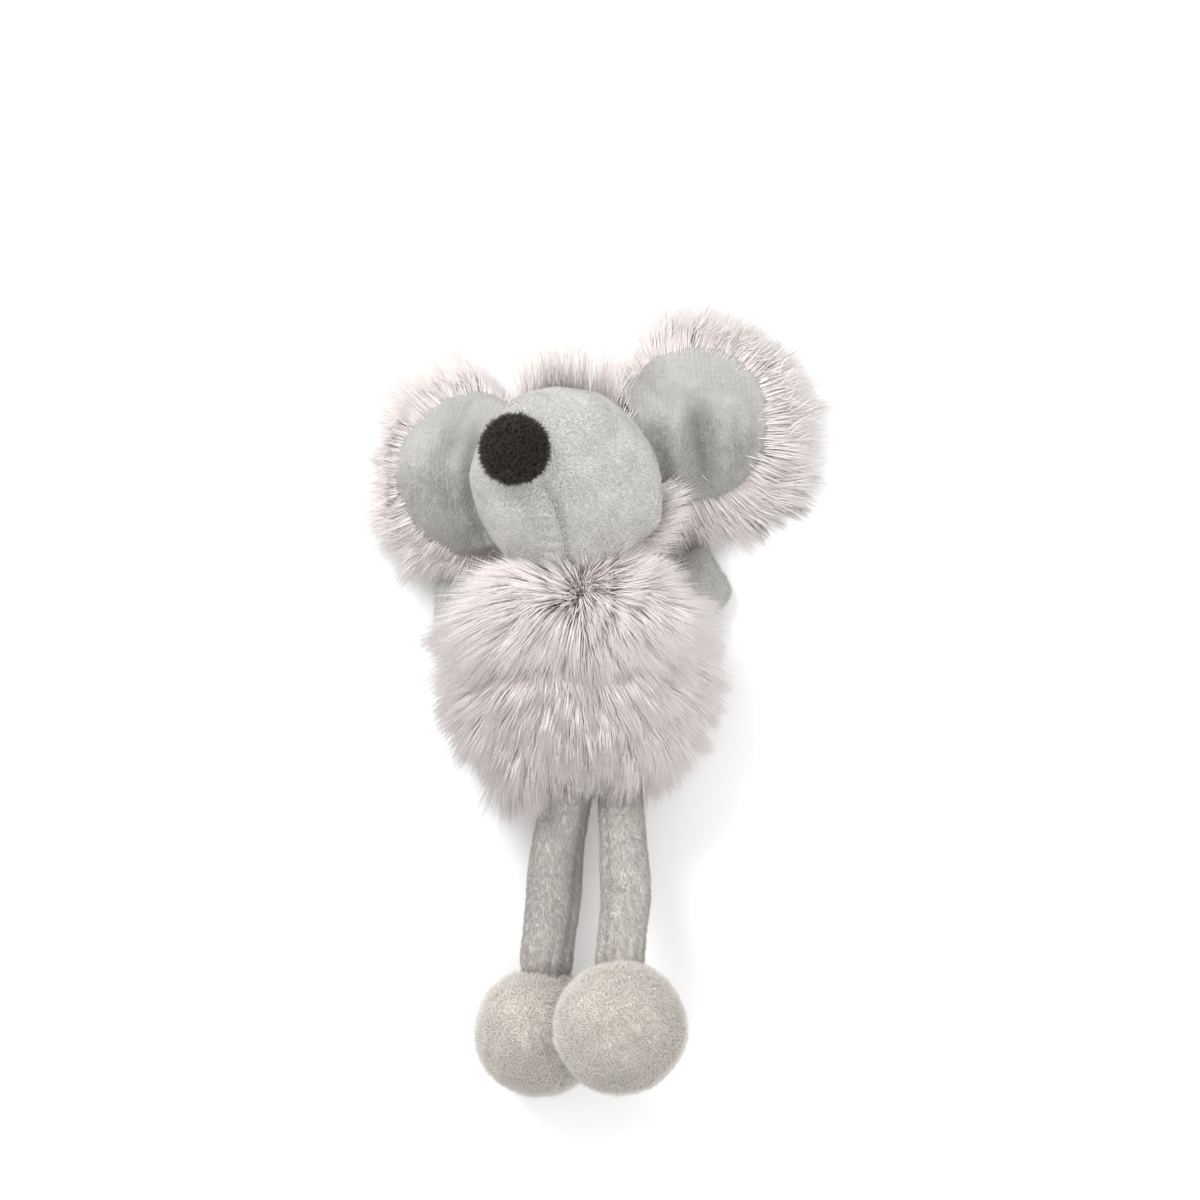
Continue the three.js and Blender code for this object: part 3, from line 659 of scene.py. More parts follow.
# %% Torso fur
TORSO_FUR = {"Density": 22.0, "Tufts": 0.17, "Tufting": 0.84, "Length": 15.5, "Uneven": 0.34,
             "Thickness": 0.115, "Rise": 0.5, "Rest_Rise": 0.1, "Frizz": 0.09, "Tousle": 0.3,
             "Droop": 0.03, "Stray": 0.16, "Floor": 0.2, "Clouds": 180.0}
BACK_FUR = {**TORSO_FUR, "Density": 16.0, "Tufts": 0.3, "Tufting": 0.7, "Thickness": 0.14}
KNOT_FUR = {**TORSO_FUR, "Density": 9.6, "Length": 8.0, "Tufting": 0.5, "Frizz": 0.5,
            "Tousle": 0.7, "Rise": 0.9}

front, left = z > 10.5, x < 0
for name, inside, seed, fur, node in [
        ("torso_fur_front_left", front & left, 10, TORSO_FUR, "torso_front_fur"),
        ("torso_fur_front_right", front & ~left, 30, TORSO_FUR, "torso_front_fur"),
        ("torso_fur_back_left", ~front & left, 50, BACK_FUR, "torso_back_fur"),
        ("torso_fur_back_right", ~front & ~left, 70, BACK_FUR, "torso_back_fur")]:
    keep(torso_skin, cover=inside)
    piece = grow(name, torso_skin, fur_fibre, "torso", "long_fur", Seed=seed, **fur)
    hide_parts(node)
flank = smooth(wide, 9, 12) * (0.5 + 0.1 * smooth(y, 1, 5))
flank = flank * smooth(z, 3.5, 6) * (1 - smooth(z, 15, 18))
keep(torso_skin, cover=np.maximum(smooth(y, 10, 13), flank) + 0.7 * smooth(-y, 11, 13.5),
     comb=normals_of(torso_skin) * 0.7 + (drift(bag, 3, 25) + [0, 0, 0.4]))
grow("torso_fur_knot", torso_skin, fur_fibre, "torso", "long_fur", Seed=90, **KNOT_FUR)
dress(torso_skin, "torso", "long_fur", "torso_stuffing", "sachet_front_sheet",
      "sachet_back_sheet", "catnip_filling", fill=0.55)

# %% [markdown]
# ## Head
# The face is one panel of velour that runs out into a snout, and the back of the head is
# the same long fur as the body. The filling pushes soft dents into the velour, and the seam
# under the chin pulls a groove. Both are moved into the mesh, not only drawn.

# %% Face panel
HEAD_OUTLINE = [(5, 17.1), (27, 16.3), (50, 16.6), (87, 16.9), (118, 17.3), (130, 16.4),
                (145, 15.8), (160, 16.2), (172, 17.2), (182, 17.8), (213, 18.6), (232, 19.3),
                (255, 18.8), (290, 18.6), (320, 18.7), (334, 19.1), (346, 18.2)]
CHIN_SEAM = [(0.30, -84), (0.42, -82), (0.55, -76), (0.66, -70), (0.78, -62), (0.88, -56)]
FACE_INSET = 0.75
CHIN_PUCKER = 1.9


def head_points(ball, inset):
    """The ball of the head, with its snout drawn out to the nose."""
    x, y, z = ball.T
    level = np.clip(z, 0, 1)
    draw = np.where(z > 0, np.maximum(1 - level ** 2, 1e-9) ** 0.12, 1)
    lean = level ** 1.6
    wider = outline_radius(HEAD_OUTLINE, bearing(ball)) - HEAD_RADIUS
    reach = HEAD_RADIUS + wider * (1 - 0.7 * level) - inset
    rise = np.where(z > 0, SNOUT_RISE, HEAD_RADIUS) - inset
    return HEAD + np.stack([x * draw * reach + SNOUT_LEAN[0] * lean,
                            y * draw * reach + SNOUT_LEAN[1] * lean, z * rise], 1)


def chin_line(inset):
    rise, turn = np.array(CHIN_SEAM).T
    flat = np.sqrt(1 - rise ** 2)
    line = np.stack([flat * np.cos(np.radians(turn)), flat * np.sin(np.radians(turn)), rise])
    steps = np.arange(len(rise))
    share = np.linspace(0, steps[-1], 60)
    fine = np.stack([np.interp(share, steps, row) for row in line], 1)
    return head_points(unit(fine), inset)


shape = head_points(ball, FACE_INSET)
outward = unit(shape - HEAD - [-2, 1, 2])
dents = 0.6 * lumps(shape, 9, 1) + 0.3 * lumps(shape, 4, 2) + 0.1 * lumps(shape, 1.6, 4)
seam = chin_line(FACE_INSET)
from_seam = np.linalg.norm(shape[:, None, :] - seam[None, :, :], axis=2).min(1)
beside = shape[:, 0] - np.interp(-shape[:, 1], -seam[::-1, 1], seam[::-1, 0])
pucker = 1 + 0.5 * np.sin(shape[:, 1] * 2 * math.pi / CHIN_PUCKER + 2 * lumps(shape, 3, 7))
swell = 0.6 * hill(from_seam - 2.6, 1.7) * np.where(beside < 0, pucker, 0.3)
turned_in = 1 - smooth(shape[:, 2], FACE_SEAM - 1.4, FACE_SEAM + 2.4)
shape = shape + outward * (dents - 0.8 * hill(from_seam, 1.1) + swell)[:, None]
shape = shape - unit(outward * [1, 1, 0]) * 1.2 * turned_in[:, None]
kept = ball_z > (FACE_SEAM - 0.9 - HEAD[2]) / HEAD_RADIUS
used, places = np.unique([f for f in ball_faces if all(kept[f])], return_inverse=True)
spots, face_faces = shape[used], places.reshape(-1, 3).tolist()
face_panel = new_piece("face_panel_velour", spots, face_faces, face_cloth)
wall = face_panel.modifiers.new("cloth", "SOLIDIFY")
wall.thickness = 1.0 * MM
wall.offset = -1
print("face panel", len(face_faces), "triangles before its thickness")

# %% Face nap
NAP = {"Tufts": 1.2, "Tufting": 0.12, "Length": 0.75, "Uneven": 0.4, "Thickness": 0.055,
       "Rise": 0.8, "Rest_Rise": 0.4, "Frizz": 0.12, "Tousle": 0.12, "Droop": 0.0,
       "Bends": 1, "Floor": 0.1}

face_backing = new_piece("face_backing", spots, face_faces)
near_nose = np.linalg.norm(spots - NOSE, axis=1)
keep(face_backing, comb=combed(face_backing, unit(spots - NOSE) + 1.6 * drift(spots, 7, 31)),
     pile=1, cover=smooth(near_nose, NOSE_RADIUS - 1, NOSE_RADIUS))
grow("face_nap", face_backing, face_fibre, "head", "face_velour", Density=17.5, Seed=110, **NAP)
bpy.data.objects.remove(face_backing)
dress(face_panel, "head", "face_velour", "face_panel", "head_stuffing", fill=0.9)

# %% Head back
BOWL_TOP = -0.14
BOWL_RIM = math.sqrt(1 - BOWL_TOP ** 2)

small_ball, small_faces = unit_ball(5)
bowl = small_ball.copy()
bowl[:, 2] = np.minimum(bowl[:, 2], BOWL_TOP)
flat = np.hypot(bowl[:, 0], bowl[:, 1])
bowl[:, :2] *= np.minimum(1, BOWL_RIM / np.maximum(flat, 1e-6))[:, None]
bowl_level = HEAD[2] + bowl[:, 2] * HEAD_RADIUS
spots = head_points(bowl, 1.5 + 0.8 * smooth(bowl_level, FACE_SEAM, FACE_SEAM + 1.2))
spots[:, 2] = np.maximum(spots[:, 2], 2.9)
head_back = new_piece("head_back_skin", spots, small_faces, fur_cloth)
away = spots - HEAD
x, y, z = away.T
nape = smooth(x, 4, 10) * smooth(-y, -1, 5)
crown = smooth(y, 2, 13)
tucked = smooth(np.degrees(np.arctan2(np.abs(x), y)), 30, 58) * smooth(spots[:, 2], 3.5, 6.5)
tucked = tucked * (1 - nape)
swept = combed(head_back, away - [0, -8, -6]) * 1.1 * (1 - tucked)[:, None]
swept += combed(head_back, unit(away) * 0.3 - [0, 0, 1]) * 1.9 * tucked[:, None]
under = small_ball[:, 2] < (FACE_SEAM - HEAD[2]) / HEAD_RADIUS
keep(head_back, comb=swept, pile=(0.6 + 1.25 * crown + 0.4 * nape) * (1 - 0.42 * tucked),
     cover=under * (spots[:, 2] < FACE_SEAM - 0.4) * (1 - 0.8 * crown))
grow("head_fur", head_back, fur_fibre, "head", "long_fur", Density=10.0, Seed=130,
     Tufts=0.22, Tufting=0.6, Length=14.0, Uneven=0.5, Thickness=0.1, Rise=0.8,
     Rest_Rise=0.6, Frizz=0.2, Tousle=0.4, Droop=0.05, Stray=0.3, Floor=0.2)
dress(head_back, "head", "long_fur", "head_back_fur", fill=0.8)

# %% [markdown]
# ## Nose
# The nose is a small craft pompom: a ball of short curly fibres, nearly black, with a few
# stray pale ones. A lumpy core keeps light from shining through between them.

# %% Nose
def pompom(name, middle, radius, level, lump, seed, finish):
    ball, faces = unit_ball(level)
    spots = ball * radius * (1 + lump * lumps(ball * radius, radius * 0.45, seed)[:, None])
    spots = spots + np.asarray(middle)
    spots[:, 2] = np.maximum(spots[:, 2], 0.1)
    piece = new_piece(name, spots, faces, finish)
    keep(piece, comb=unit(np.cross(ball, [0.3, 0.5, 0.8])) * 0.35, pile=1, cover=1)
    return piece


nose_ball = pompom("nose_core", NOSE + [0.6, -0.3, 0.0], NOSE_RADIUS - 0.7, 5, 0.05, 3, nose_core)
grow("nose_fibres", nose_ball, nose_fibre, "head", "nose_pompom", Density=24.0, Seed=150,
     Tufts=2.0, Tufting=0.35, Length=2.1, Uneven=0.7, Thickness=0.08, Rise=0.8, Rest_Rise=0.35,
     Frizz=1.0, Tousle=0.5, Droop=0.0, Stray=0.1, Bends=2, Floor=0.1)
dress(nose_ball, "head", "nose_pompom", "nose_pompom", "nose_thread")

# %% [markdown]
# ## Ears
# Each ear is two layers: a round of velour in front and long fur behind, sewn to the head.
# The velour is dished and pleated by its seam, so the rule lifts its rim and presses valleys
# into it. The fur behind is combed outward and shows all round as a ruff.

# %% Ear outlines
OUTLINES = {
    "right": [(-158, 12.5), (-130, 13.0), (-107, 13.9), (-85, 14.8), (-58, 14.7), (-30, 14.9),
              (0, 15.2), (20, 15.6), (45, 16.0), (70, 16.2), (93, 15.7), (112, 15.0),
              (136, 14.4), (162, 15.6), (180, 14.0)],
    "left": [(-160, 15.4), (-130, 15.9), (-100, 16.0), (-75, 15.2), (-50, 14.5), (0, 13.5),
             (50, 14.5), (75, 15.6), (100, 16.0), (130, 15.8), (160, 15.3), (180, 15.3)],
}


def ear_height(side, x, y, share):
    """How high the velour lies over the floor at a spot from the ear's middle."""
    dome = EAR_TOP + 3.0 * (1 - share ** 2.6)
    inner = 1 - share ** 4
    if side == "right":
        below = 1 - smooth(y, -1.0, 7.0)
        valley = 3.4 * hill(x - 1.2 + 0.10 * y, 1.9) * below
        ridges = 2.0 * hill(x + 3.2 + 0.05 * y, 1.9) + 2.1 * hill(x - 6.0, 2.6)
        root = 2.0 * hill(x + 8.5 + 0.35 * y, 2.2)
        crease = 0.7 * hill(x + y * 0.9 + 2.5, 1.2) * smooth(y, 1, 6)
        band = 0.9 * hill(share - 0.8, 0.08) * smooth(x, 3, 9)
        return dome + (ridges * (0.25 + 0.75 * below) - valley - root - crease - band) * inner
    bend = 0.022 * (y - 2) ** 2
    valley = 3.4 * hill(x - 1.0 - bend + 2.2 * smooth(-y, -6, 8), 2.2)
    valley = valley * (0.35 + 0.65 * (1 - smooth(y, 4, 12)))
    rim = 2.0 * hill(share - 0.66, 0.22) * smooth(-x, -1, 6)
    ridge = 1.9 * hill(x - 5.6 - bend, 1.5) * smooth(y, -9, 0)
    return dome + (rim + ridge - valley) * inner


# %% Ear fronts
EAR_SHEETS = {"left": (-19.88, 38.37), "right": (21.0, 47.5)}
SHEET_EDGE = 0.65
EAR_NAP = {**NAP, "Tufts": 0.9, "Tufting": 0.2, "Length": 0.9}


def chart(piece, places):
    """Stores where each point lies on the flat cloth, in millimetres, as a map."""
    mesh = piece.data
    corners = np.empty(len(mesh.loops), np.int32)
    mesh.loops.foreach_get("vertex_index", corners)
    layer = mesh.uv_layers.new(name=CLOTH_MAP)
    layer.data.foreach_set("uv", (places[corners] * MM).astype(np.float32).ravel())


angle = bearing(ball)
share = np.clip(np.hypot(ball_x, ball_y), 0, 1)
for side, seed, lump_seed in (("left", 170, 5), ("right", 190, 6)):
    middle = EAR_SHEETS[side]
    reach = outline_radius(OUTLINES[side], angle) - 0.5
    x = reach * share * np.cos(np.radians(angle))
    y = reach * share * np.sin(np.radians(angle))
    near_head = 1 - smooth(np.hypot(middle[0] + x - HEAD[0], middle[1] + y - HEAD[1]), 17, 23)
    height = ear_height(side, x, y, share) + 2.6 * near_head - 1.2 * smooth(share, 0.9, 1.0)
    flat = np.stack([x, y, 0 * x], 1)
    soft = 0.3 * lumps(flat, 4.5, 9) + 0.16 * lumps(flat, 1.9, lump_seed)
    level = height - SHEET_EDGE + SHEET_EDGE * ball_z + soft
    ear_front = new_piece(f"{side}_ear_velour", np.stack([middle[0] + x, middle[1] + y, level], 1),
                          ball_faces, ear_cloth)
    chart(ear_front, np.stack([x - 0.02 * y ** 2 if side == "left" else x + 0.12 * y, y], 1))
    lie = np.stack([0.25 * x, -6 - 0.3 * np.abs(x), 0 * x], 1)
    lower = smooth(-y, -6, 4)
    keep(ear_front, comb=combed(ear_front, lie), pile=0.45 + 0.65 * lower,
         cover=(normals_of(ear_front)[:, 2] > -0.2) * (0.3 + 0.7 * lower))
    grow(f"{side}_ear_nap", ear_front, ear_fibre, f"{side}_ear", "ear_velour",
         Density=22.0, Seed=seed, **EAR_NAP)
    dress(ear_front, f"{side}_ear", "ear_velour", f"{side}_ear_front", fill=0.3)

# %% Ear backs
EAR_BACK_RADIUS = 14.2
EAR_BACK_HALF = 2.7
EAR_BACK_LEVEL = 3.9
LOCKS = {
    "right": [(-150, 0.9), (-110, 1.15), (-75, 1.15), (-50, 1.35), (-30, 1.2), (0, 1.0),
              (60, 0.85), (100, 0.85), (140, 1.05), (170, 0.8)],
    "left": [(-170, 0.8), (-145, 1.25), (-115, 1.4), (-90, 1.0), (0, 0.8), (60, 1.0),
             (95, 1.35), (125, 1.35), (155, 0.9)],
}

squash = small_ball * [EAR_BACK_RADIUS, EAR_BACK_RADIUS, EAR_BACK_HALF]
x, y, z = squash.T
share = np.hypot(x, y) / EAR_BACK_RADIUS
flat_side = z < -0.8
pressed = np.where(flat_side, 0.5 + 0.5 * smooth(share, 0.5, 0.95), 1.0)
for side, seed, length in (("left", 210, 10.5), ("right", 230, 15.0)):
    middle = np.array([*EARS[side]["middle"], EAR_BACK_LEVEL])
    head_way = np.array([HEAD[0], HEAD[1], EAR_BACK_LEVEL]) - middle
    open_side = smooth(-y, 3, 8) if side == "right" else 0 * y
    near = (1 - smooth(np.hypot(x - head_way[0], y - head_way[1]), 15, 21)) * (1 - open_side)
    raised = squash + near[:, None] * [0, 0, 1.8]
    ear_back = new_piece(f"{side}_ear_back_skin", raised + middle, small_faces, fur_cloth)
    away = unit(squash * [1, 1, 0]) @ (-head_way / np.linalg.norm(head_way))
    headward = (1 - smooth(away, -0.45, -0.05)) * (1 - open_side)
    star = (squash - head_way * 0.25) * [1, 1, 0.1]
    lie = combed(ear_back, star) * 1.3 * (1 - headward)[:, None]
    lie[:, 2] -= 0.5 * open_side
    lie += combed(ear_back, unit(star) - [0, 0, 2]) * 3 * headward[:, None]
    locks = outline_radius(LOCKS[side], bearing(squash))
    keep(ear_back, comb=lie, pile=locks * (1 - 0.55 * headward) * pressed,
         cover=np.maximum(smooth(share, 0.35, 0.85), 0.5 * flat_side))
    grow(f"{side}_ear_fur", ear_back, fur_fibre, f"{side}_ear", "long_fur", Density=12.5,
         Seed=seed, Tufts=0.24, Tufting=0.75, Length=length, Uneven=0.42, Thickness=0.12,
         Rise=0.35, Rest_Rise=0.1, Frizz=0.1, Tousle=0.28, Droop=0.02, Stray=0.14, Floor=0.2)
    dress(ear_back, f"{side}_ear", "long_fur", f"{side}_ear_back_fur")

# %% [markdown]
# ## Arms
# An arm is a flat tab of two velour layers, turned right side out and hardly filled.
# A rounded rectangle that is thick in the middle and pinched at its sewn edge gives that.

# %% Arms
ARM_POWER = 4.5
ARM_HALF_THICK = 1.75
ARM_EDGE = 0.35


flat = np.hypot(ball_x, ball_y)
direction = unit(ball * [1, 1, 0])
box = np.maximum((np.abs(direction[:, :2]) ** ARM_POWER).sum(1), 1e-9) ** (-1 / ARM_POWER)
thick = ARM_HALF_THICK * np.sign(ball_z) * (1 - np.clip(flat, 0, 1) ** 3) + ARM_EDGE * ball_z
for side, seed in (("left", 250), ("right", 270)):
    pivot = np.array(ARMS[side]["pivot"])
    tip = math.asin((pivot[2] - 1.8) / (ARM_REACH + 1.2))
    turn = math.radians(ARMS[side]["turn"])
    x = direction[:, 0] * box * flat * ARM_REACH / 2
    y = direction[:, 1] * box * flat * ARM_HALF_WIDTH
    z = thick + 0.35 * lumps(np.stack([x, y, 0 * x], 1), 3.5, 8)
    x = x + 1.2 + ARM_REACH / 2
    if side == "right":
        x, y = x + 0.012 * x * y, y + 0.1 * x
    else:
        x = x * 0.8
    along = x * math.cos(tip) + z * math.sin(tip)
    up = -x * math.sin(tip) + z * math.cos(tip)
    spots = np.stack([
        pivot[0] + along * math.cos(turn) - y * math.sin(turn),
        pivot[1] + along * math.sin(turn) + y * math.cos(turn),
        np.maximum(pivot[2] + up, 0.3)], 1)
    arm_piece = new_piece(f"{side}_arm_velour", spots, ball_faces, ear_cloth)
    outwards = spots - pivot
    chart(arm_piece, outwards[:, :2] @ np.array([
        [-math.sin(turn), math.cos(turn)], [math.cos(turn), math.sin(turn)]]))
    keep(arm_piece, comb=combed(arm_piece, outwards), pile=1, cover=1)
    grow(f"{side}_arm_nap", arm_piece, ear_fibre, f"{side}_arm", "ear_velour",
         Density=16.0, Seed=seed, **EAR_NAP)
    dress(arm_piece, f"{side}_arm", "ear_velour", f"{side}_arm_front", f"{side}_arm_back",
          fill=0.35)

# %% [markdown]
# ## Legs and feet
# A leg is a velour tube with a little filling, and its foot is a big pompom sewn over its
# end. The tube follows the same bowed line as in the source, with soft folds along it.
# Its root is slimmer, so that it stays hidden in the fur when the leg is lifted.

# %% Legs
TUBE_SIDES = 72
TUBE_STEPS = 150
LEG_ROOT = 7.5
FOLDS = {"left": 0.62, "right": 2.4}
PUCKERS = {"left": 0.0, "right": 1.3}


def leg_ends(side):
    leg, foot = LEGS[side], FEET[side]
    hip, end = np.array(leg["hip"]), np.array(foot["middle"])
    span = foot["radius"] + leg["radius"] - 3
    return hip, end + (hip - end) * span / np.linalg.norm(end - hip)


def tube_piece(name, side, finish):
    leg, radius = LEGS[side], LEGS[side]["radius"]
    hip, ankle = leg_ends(side)
    whole = np.linalg.norm(ankle - hip)
    forward = (ankle - hip) / whole
    aside = np.cross([0, 0, 1], forward)
    aside /= np.linalg.norm(aside)
    above = np.cross(forward, aside)
    above *= -1 if above[2] < 0 else 1
    points, places = [], []
    for step in range(TUBE_STEPS + 1):
        run = -LEG_ROOT + (whole + LEG_ROOT + radius) * step / TUBE_STEPS
        share = min(1, max(0, run / whole))
        arch = 4 * share * (1 - share)
        beyond = max(0, run - whole)
        middle = hip + (ankle - hip) * share + np.array([leg["bow"] * arch, 0, -leg["sag"] * arch])
        middle = middle + forward * (min(0, run) + beyond)
        past = min(0, run + LEG_ROOT - radius) + beyond
        size = math.sqrt(max(radius ** 2 - past ** 2, 0.0001))
        size -= 3.2 * smooth(-run, 1, LEG_ROOT)
        size += leg["swell"] * math.sin(math.pi * share)
        end_way = min(1, max(0, 1 - (whole - run) / 6))
        for angle in np.arange(TUBE_SIDES) * 2 * math.pi / TUBE_SIDES:
            fold = 0.4 * hill(angle - FOLDS[side], 0.18)
            swing = noise.noise(Vector((math.cos(angle) * 0.8, math.sin(angle) * 0.8, run / 12)))
            pucker = 0.22 * math.cos(11 * angle + PUCKERS[side]) * end_way
            width = max(size - 0.55 + min(1, size / 4) * (0.5 * swing - fold + pucker), 0)
            points.append(middle + aside * width * math.cos(angle) + above * width * math.sin(angle))
            places.append((angle * size, run))
    faces = []
    for row in range(0, TUBE_STEPS * TUBE_SIDES, TUBE_SIDES):
        for k in range(TUBE_SIDES):
            a, b = row + k, row + (k + 1) % TUBE_SIDES
            faces.append([a, b, b + TUBE_SIDES, a + TUBE_SIDES])
    faces.append(list(range(TUBE_SIDES))[::-1])
    faces.append([TUBE_STEPS * TUBE_SIDES + k for k in range(TUBE_SIDES)])
    piece = new_piece(name, points, faces, finish)
    form = bmesh.new()
    form.from_mesh(piece.data)
    bmesh.ops.recalc_face_normals(form, faces=form.faces)
    form.to_mesh(piece.data)
    form.free()
    chart(piece, np.array(places))
    return piece, np.tile(forward, (len(points), 1))


LEG_NAP = {**NAP, "Length": 1.1, "Frizz": 0.06, "Rest_Rise": 0.3, "Tufting": 0.3, "Stray": 0.06}
for side, seed in (("left", 290), ("right", 310)):
    leg_piece, down_leg = tube_piece(f"{side}_leg_velour", side, leg_cloth)
    keep(leg_piece, comb=combed(leg_piece, down_leg), pile=1, cover=1)
    grow(f"{side}_leg_nap", leg_piece, leg_fibre, f"{side}_leg", "leg_velour",
         Density=15.5, Seed=seed, **LEG_NAP)
    dress(leg_piece, f"{side}_leg", "leg_velour", f"{side}_leg_sleeve", f"{side}_leg_filling",
          fill=0.6)

# %% Feet
for side, seed in (("left", 330), ("right", 350)):
    radius = FEET[side]["radius"] - 0.45
    core = pompom(f"{side}_foot_core", FEET[side]["middle"], radius, 6, 0.035, 11 + seed, foot_core)
    lean = np.array([v.co[:] for v in core.data.vertices]) / MM - leg_ends(side)[1]
    leg_radius = LEGS[side]["radius"]
    keep(core, cover=smooth(np.linalg.norm(lean, axis=1), leg_radius - 2.0, leg_radius - 1.0))
    grow(f"{side}_foot_fibres", core, foot_fibre, f"{side}_foot", "foot_pompom",
         Density=21.0, Seed=seed, Tufts=1.6, Tufting=0.1, Length=1.6, Uneven=0.6,
         Thickness=0.06, Rise=1.0, Rest_Rise=1.2, Frizz=0.5, Tousle=0.15, Droop=0.0,
         Stray=0.05, Bends=1, Clouds=260.0, Floor=0.1)
    dress(core, f"{side}_foot", "foot_pompom", f"{side}_foot_pompom", f"{side}_foot_tie")

# %% [markdown]
# ## Neck
# Between torso and head the fabric is gathered and wound with thread. It is nearly hidden,
# but shows when the head turns, so it gets its folds.

# %% Neck
NECK_RADIUS = 4.1
x, y, z = small_ball.T
waist = 1.3 * hill(4.2 * y, 1.4)
fold = 0.25 * np.cos(np.arctan2(z, x) * 14) * (1 - np.abs(y))
flat = np.maximum(np.hypot(x, z), 1e-6)
across = np.maximum(NECK_RADIUS * flat - (waist - fold) * np.minimum(flat * 3, 1), 0)
spots = NECK + np.stack([x / flat * across, y * NECK_RADIUS, z / flat * across], 1)
neck_piece = new_piece("neck_gathers", spots, small_faces, neck_cloth)
dress(neck_piece, "neck", "ear_velour", "neck_gather", fill=0.5)

# %% [markdown]
# ## Stitches
# Sewn seams are rows of small stitches. A second tree walks along a line and lays a short
# grain of thread along it every so often. The windings at the neck come from the same tree,
# with the stitches set close.

# %% The stitch tree
stitch_tree = Nodes("stitches along a line", "GeometryNodeTree", {
    "Line": "Geometry", "Count": 10, "Stitch Length": 1.4 * MM, "Thread": 0.25 * MM,
    "Finish": "Material"}, {"Stitches": "Geometry"})


def stitch_nodes(n):
    given = n.given()
    curve = n.add("GeometryNodeMeshToCurve", given["Line"])
    spots = n.add("GeometryNodeCurveToPoints", curve, given["Count"], mode="COUNT")
    turn = n.add("FunctionNodeAlignRotationToVector", sockets={"Vector": spots["Tangent"]},
                 axis="Z")
    capsule = n.add("GeometryNodeMeshUVSphere", sockets={
        "Segments": 8, "Rings": 8, "Radius": 1.0})
    size = n.add("ShaderNodeCombineXYZ", given["Thread"], given["Thread"],
                 given["Stitch Length"] * 0.5)
    made = n.add("GeometryNodeInstanceOnPoints", sockets={
        "Points": spots, "Instance": capsule, "Rotation": turn, "Scale": size})
    made = n.add("GeometryNodeRealizeInstances", made)
    n.give(Stitches=n.dressed(made, given["Finish"]))


stitch_nodes(stitch_tree)


def stitched(name, line, count, length, body, *nodes, thick=0.26, finish=thread_finish):
    path = bpy.data.meshes.new("seam")
    edges = [(k, k + 1) for k in range(len(line) - 1)]
    path.from_pydata((np.asarray(line) * MM).tolist(), edges, [])
    seam = placed("seam", path)
    piece = plain_mesh(seam, stitch_tree, {
        "Count": count, "Stitch Length": length * MM, "Thread": thick * MM,
        "Finish": finish}, name)
    bpy.data.objects.remove(seam)
    dress(piece, body, "sewing_thread", *nodes)


def box_of(node):
    """The low and the high corner of a solid's box, in millimetres."""
    return (np.array(corner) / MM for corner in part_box(node))


def winding(middle, across, up, turns=1, rise=0.0, count=40):
    """Points on turns of thread round a level line."""
    turn = np.linspace(0, 2 * math.pi * turns, count)
    return middle + np.stack([across * np.cos(turn), rise * (turn / turn[-1] - 0.5),
                              up * np.sin(turn)], 1)


def level_row(middle, degrees, half, count):
    """Points on a level line that crosses a direction."""
    turn = math.radians(degrees)
    across = np.array([-math.sin(turn), math.cos(turn), 0])
    return [middle + across * step for step in np.linspace(-half, half, count)]


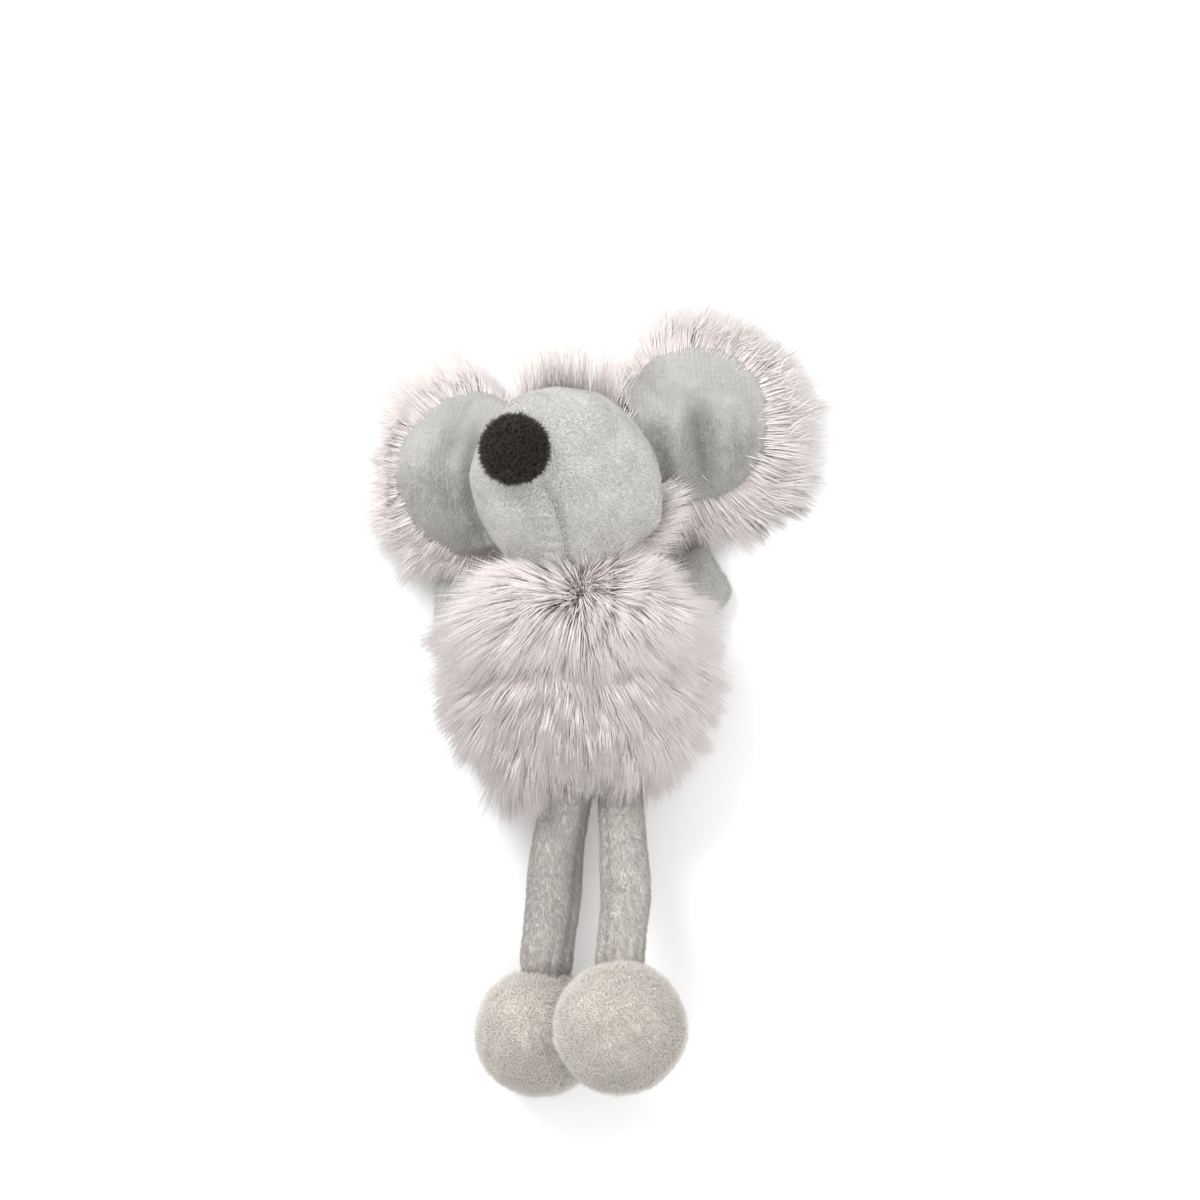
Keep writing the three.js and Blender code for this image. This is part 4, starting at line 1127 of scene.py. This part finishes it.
# %% Seams
stitched("chin_seam_stitches", chin_line(1.0), 14, 1.0, "head", "chin_seam_thread")
stitched("neck_winding", winding(NECK, 3.35, 3.35, turns=4, rise=1.1, count=160), 120, 1.1,
         "neck", "neck_thread", thick=0.24)
for side in ("left", "right"):
    low, high = box_of(f"{side}_ear_root_stitches")
    line = level_row((low + high) / 2, EARS[side]["turn"], 7.6, 12)
    stitched(f"{side}_ear_seam", line, 11, 1.1, f"{side}_ear", f"{side}_ear_root_stitches")
    line = level_row(np.array(ARMS[side]["pivot"]), ARMS[side]["turn"], 3.0, 8)
    stitched(f"{side}_arm_seam", line, 6, 0.9, f"{side}_arm", f"{side}_shoulder_stitches")
    low, high = box_of(f"{side}_hip_stitching")
    across, _, up = (high - low) / 2 * 0.8
    ring = winding((low + high) / 2, across, up)
    stitched(f"{side}_hip_seam", ring, 14, 0.8, f"{side}_hip", f"{side}_hip_stitching", thick=0.2)
stitched("ear_tack_stitch", [(8.5, 50.9, 11.2), (8.9, 50.2, 11.2)], 2, 0.9, "right_ear",
         thick=0.24, finish=tack_finish)
low, high = box_of("closing_stitches")
line = [np.array([(low[0] + high[0]) / 2 + 0.45 * (-1) ** k, along, 1.0])
        for k, along in enumerate(np.linspace(low[1] + 0.5, high[1] - 0.5, 14))]
stitched("closing_seam", line, 26, 1.0, "torso", "closing_stitches")

# %% [markdown]
# ## Floor and light
# Wide soft lamps light the toy on white: one from the upper left, which models the fur, and
# a weaker fill from the other side.

# %% Floor and light
FLOOR_CORNERS = [(-3, -3, 0), (3, -3, 0), (3, 3, 0), (-3, 3, 0)]

floor_mesh = bpy.data.meshes.new("floor")
floor_mesh.from_pydata(FLOOR_CORNERS, [], [[0, 1, 2, 3]])
floor = placed("floor", floor_mesh)
floor_finish = bpy.data.materials.new("pale floor")
floor_finish.use_nodes = True
set_inputs(floor_finish.node_tree.nodes["Principled BSDF"], Base_Color=FLOOR_COLOUR, Roughness=0.9)
floor_mesh.materials.append(floor_finish)

scene.view_settings.view_transform = "Standard"
world = bpy.data.worlds.new("studio")
world.use_nodes = True
set_inputs(world.node_tree.nodes["Background"], Color=(1, 1, 1, 1), Strength=0.99)
scene.world = world


def softbox(name, place, size, power):
    data = bpy.data.lights.new(name, "AREA")
    data.shape = "SQUARE"
    data.size = size
    data.energy = power
    lamp = placed(name, data)
    lamp.location = place
    lamp.rotation_euler = (-Vector(place)).to_track_quat("-Z", "Y").to_euler()


softbox("key softbox", (-0.55, 0.75, 0.9), 0.5, 9.8)
softbox("fill softbox", (0.8, -0.3, 0.9), 0.7, 3.3)
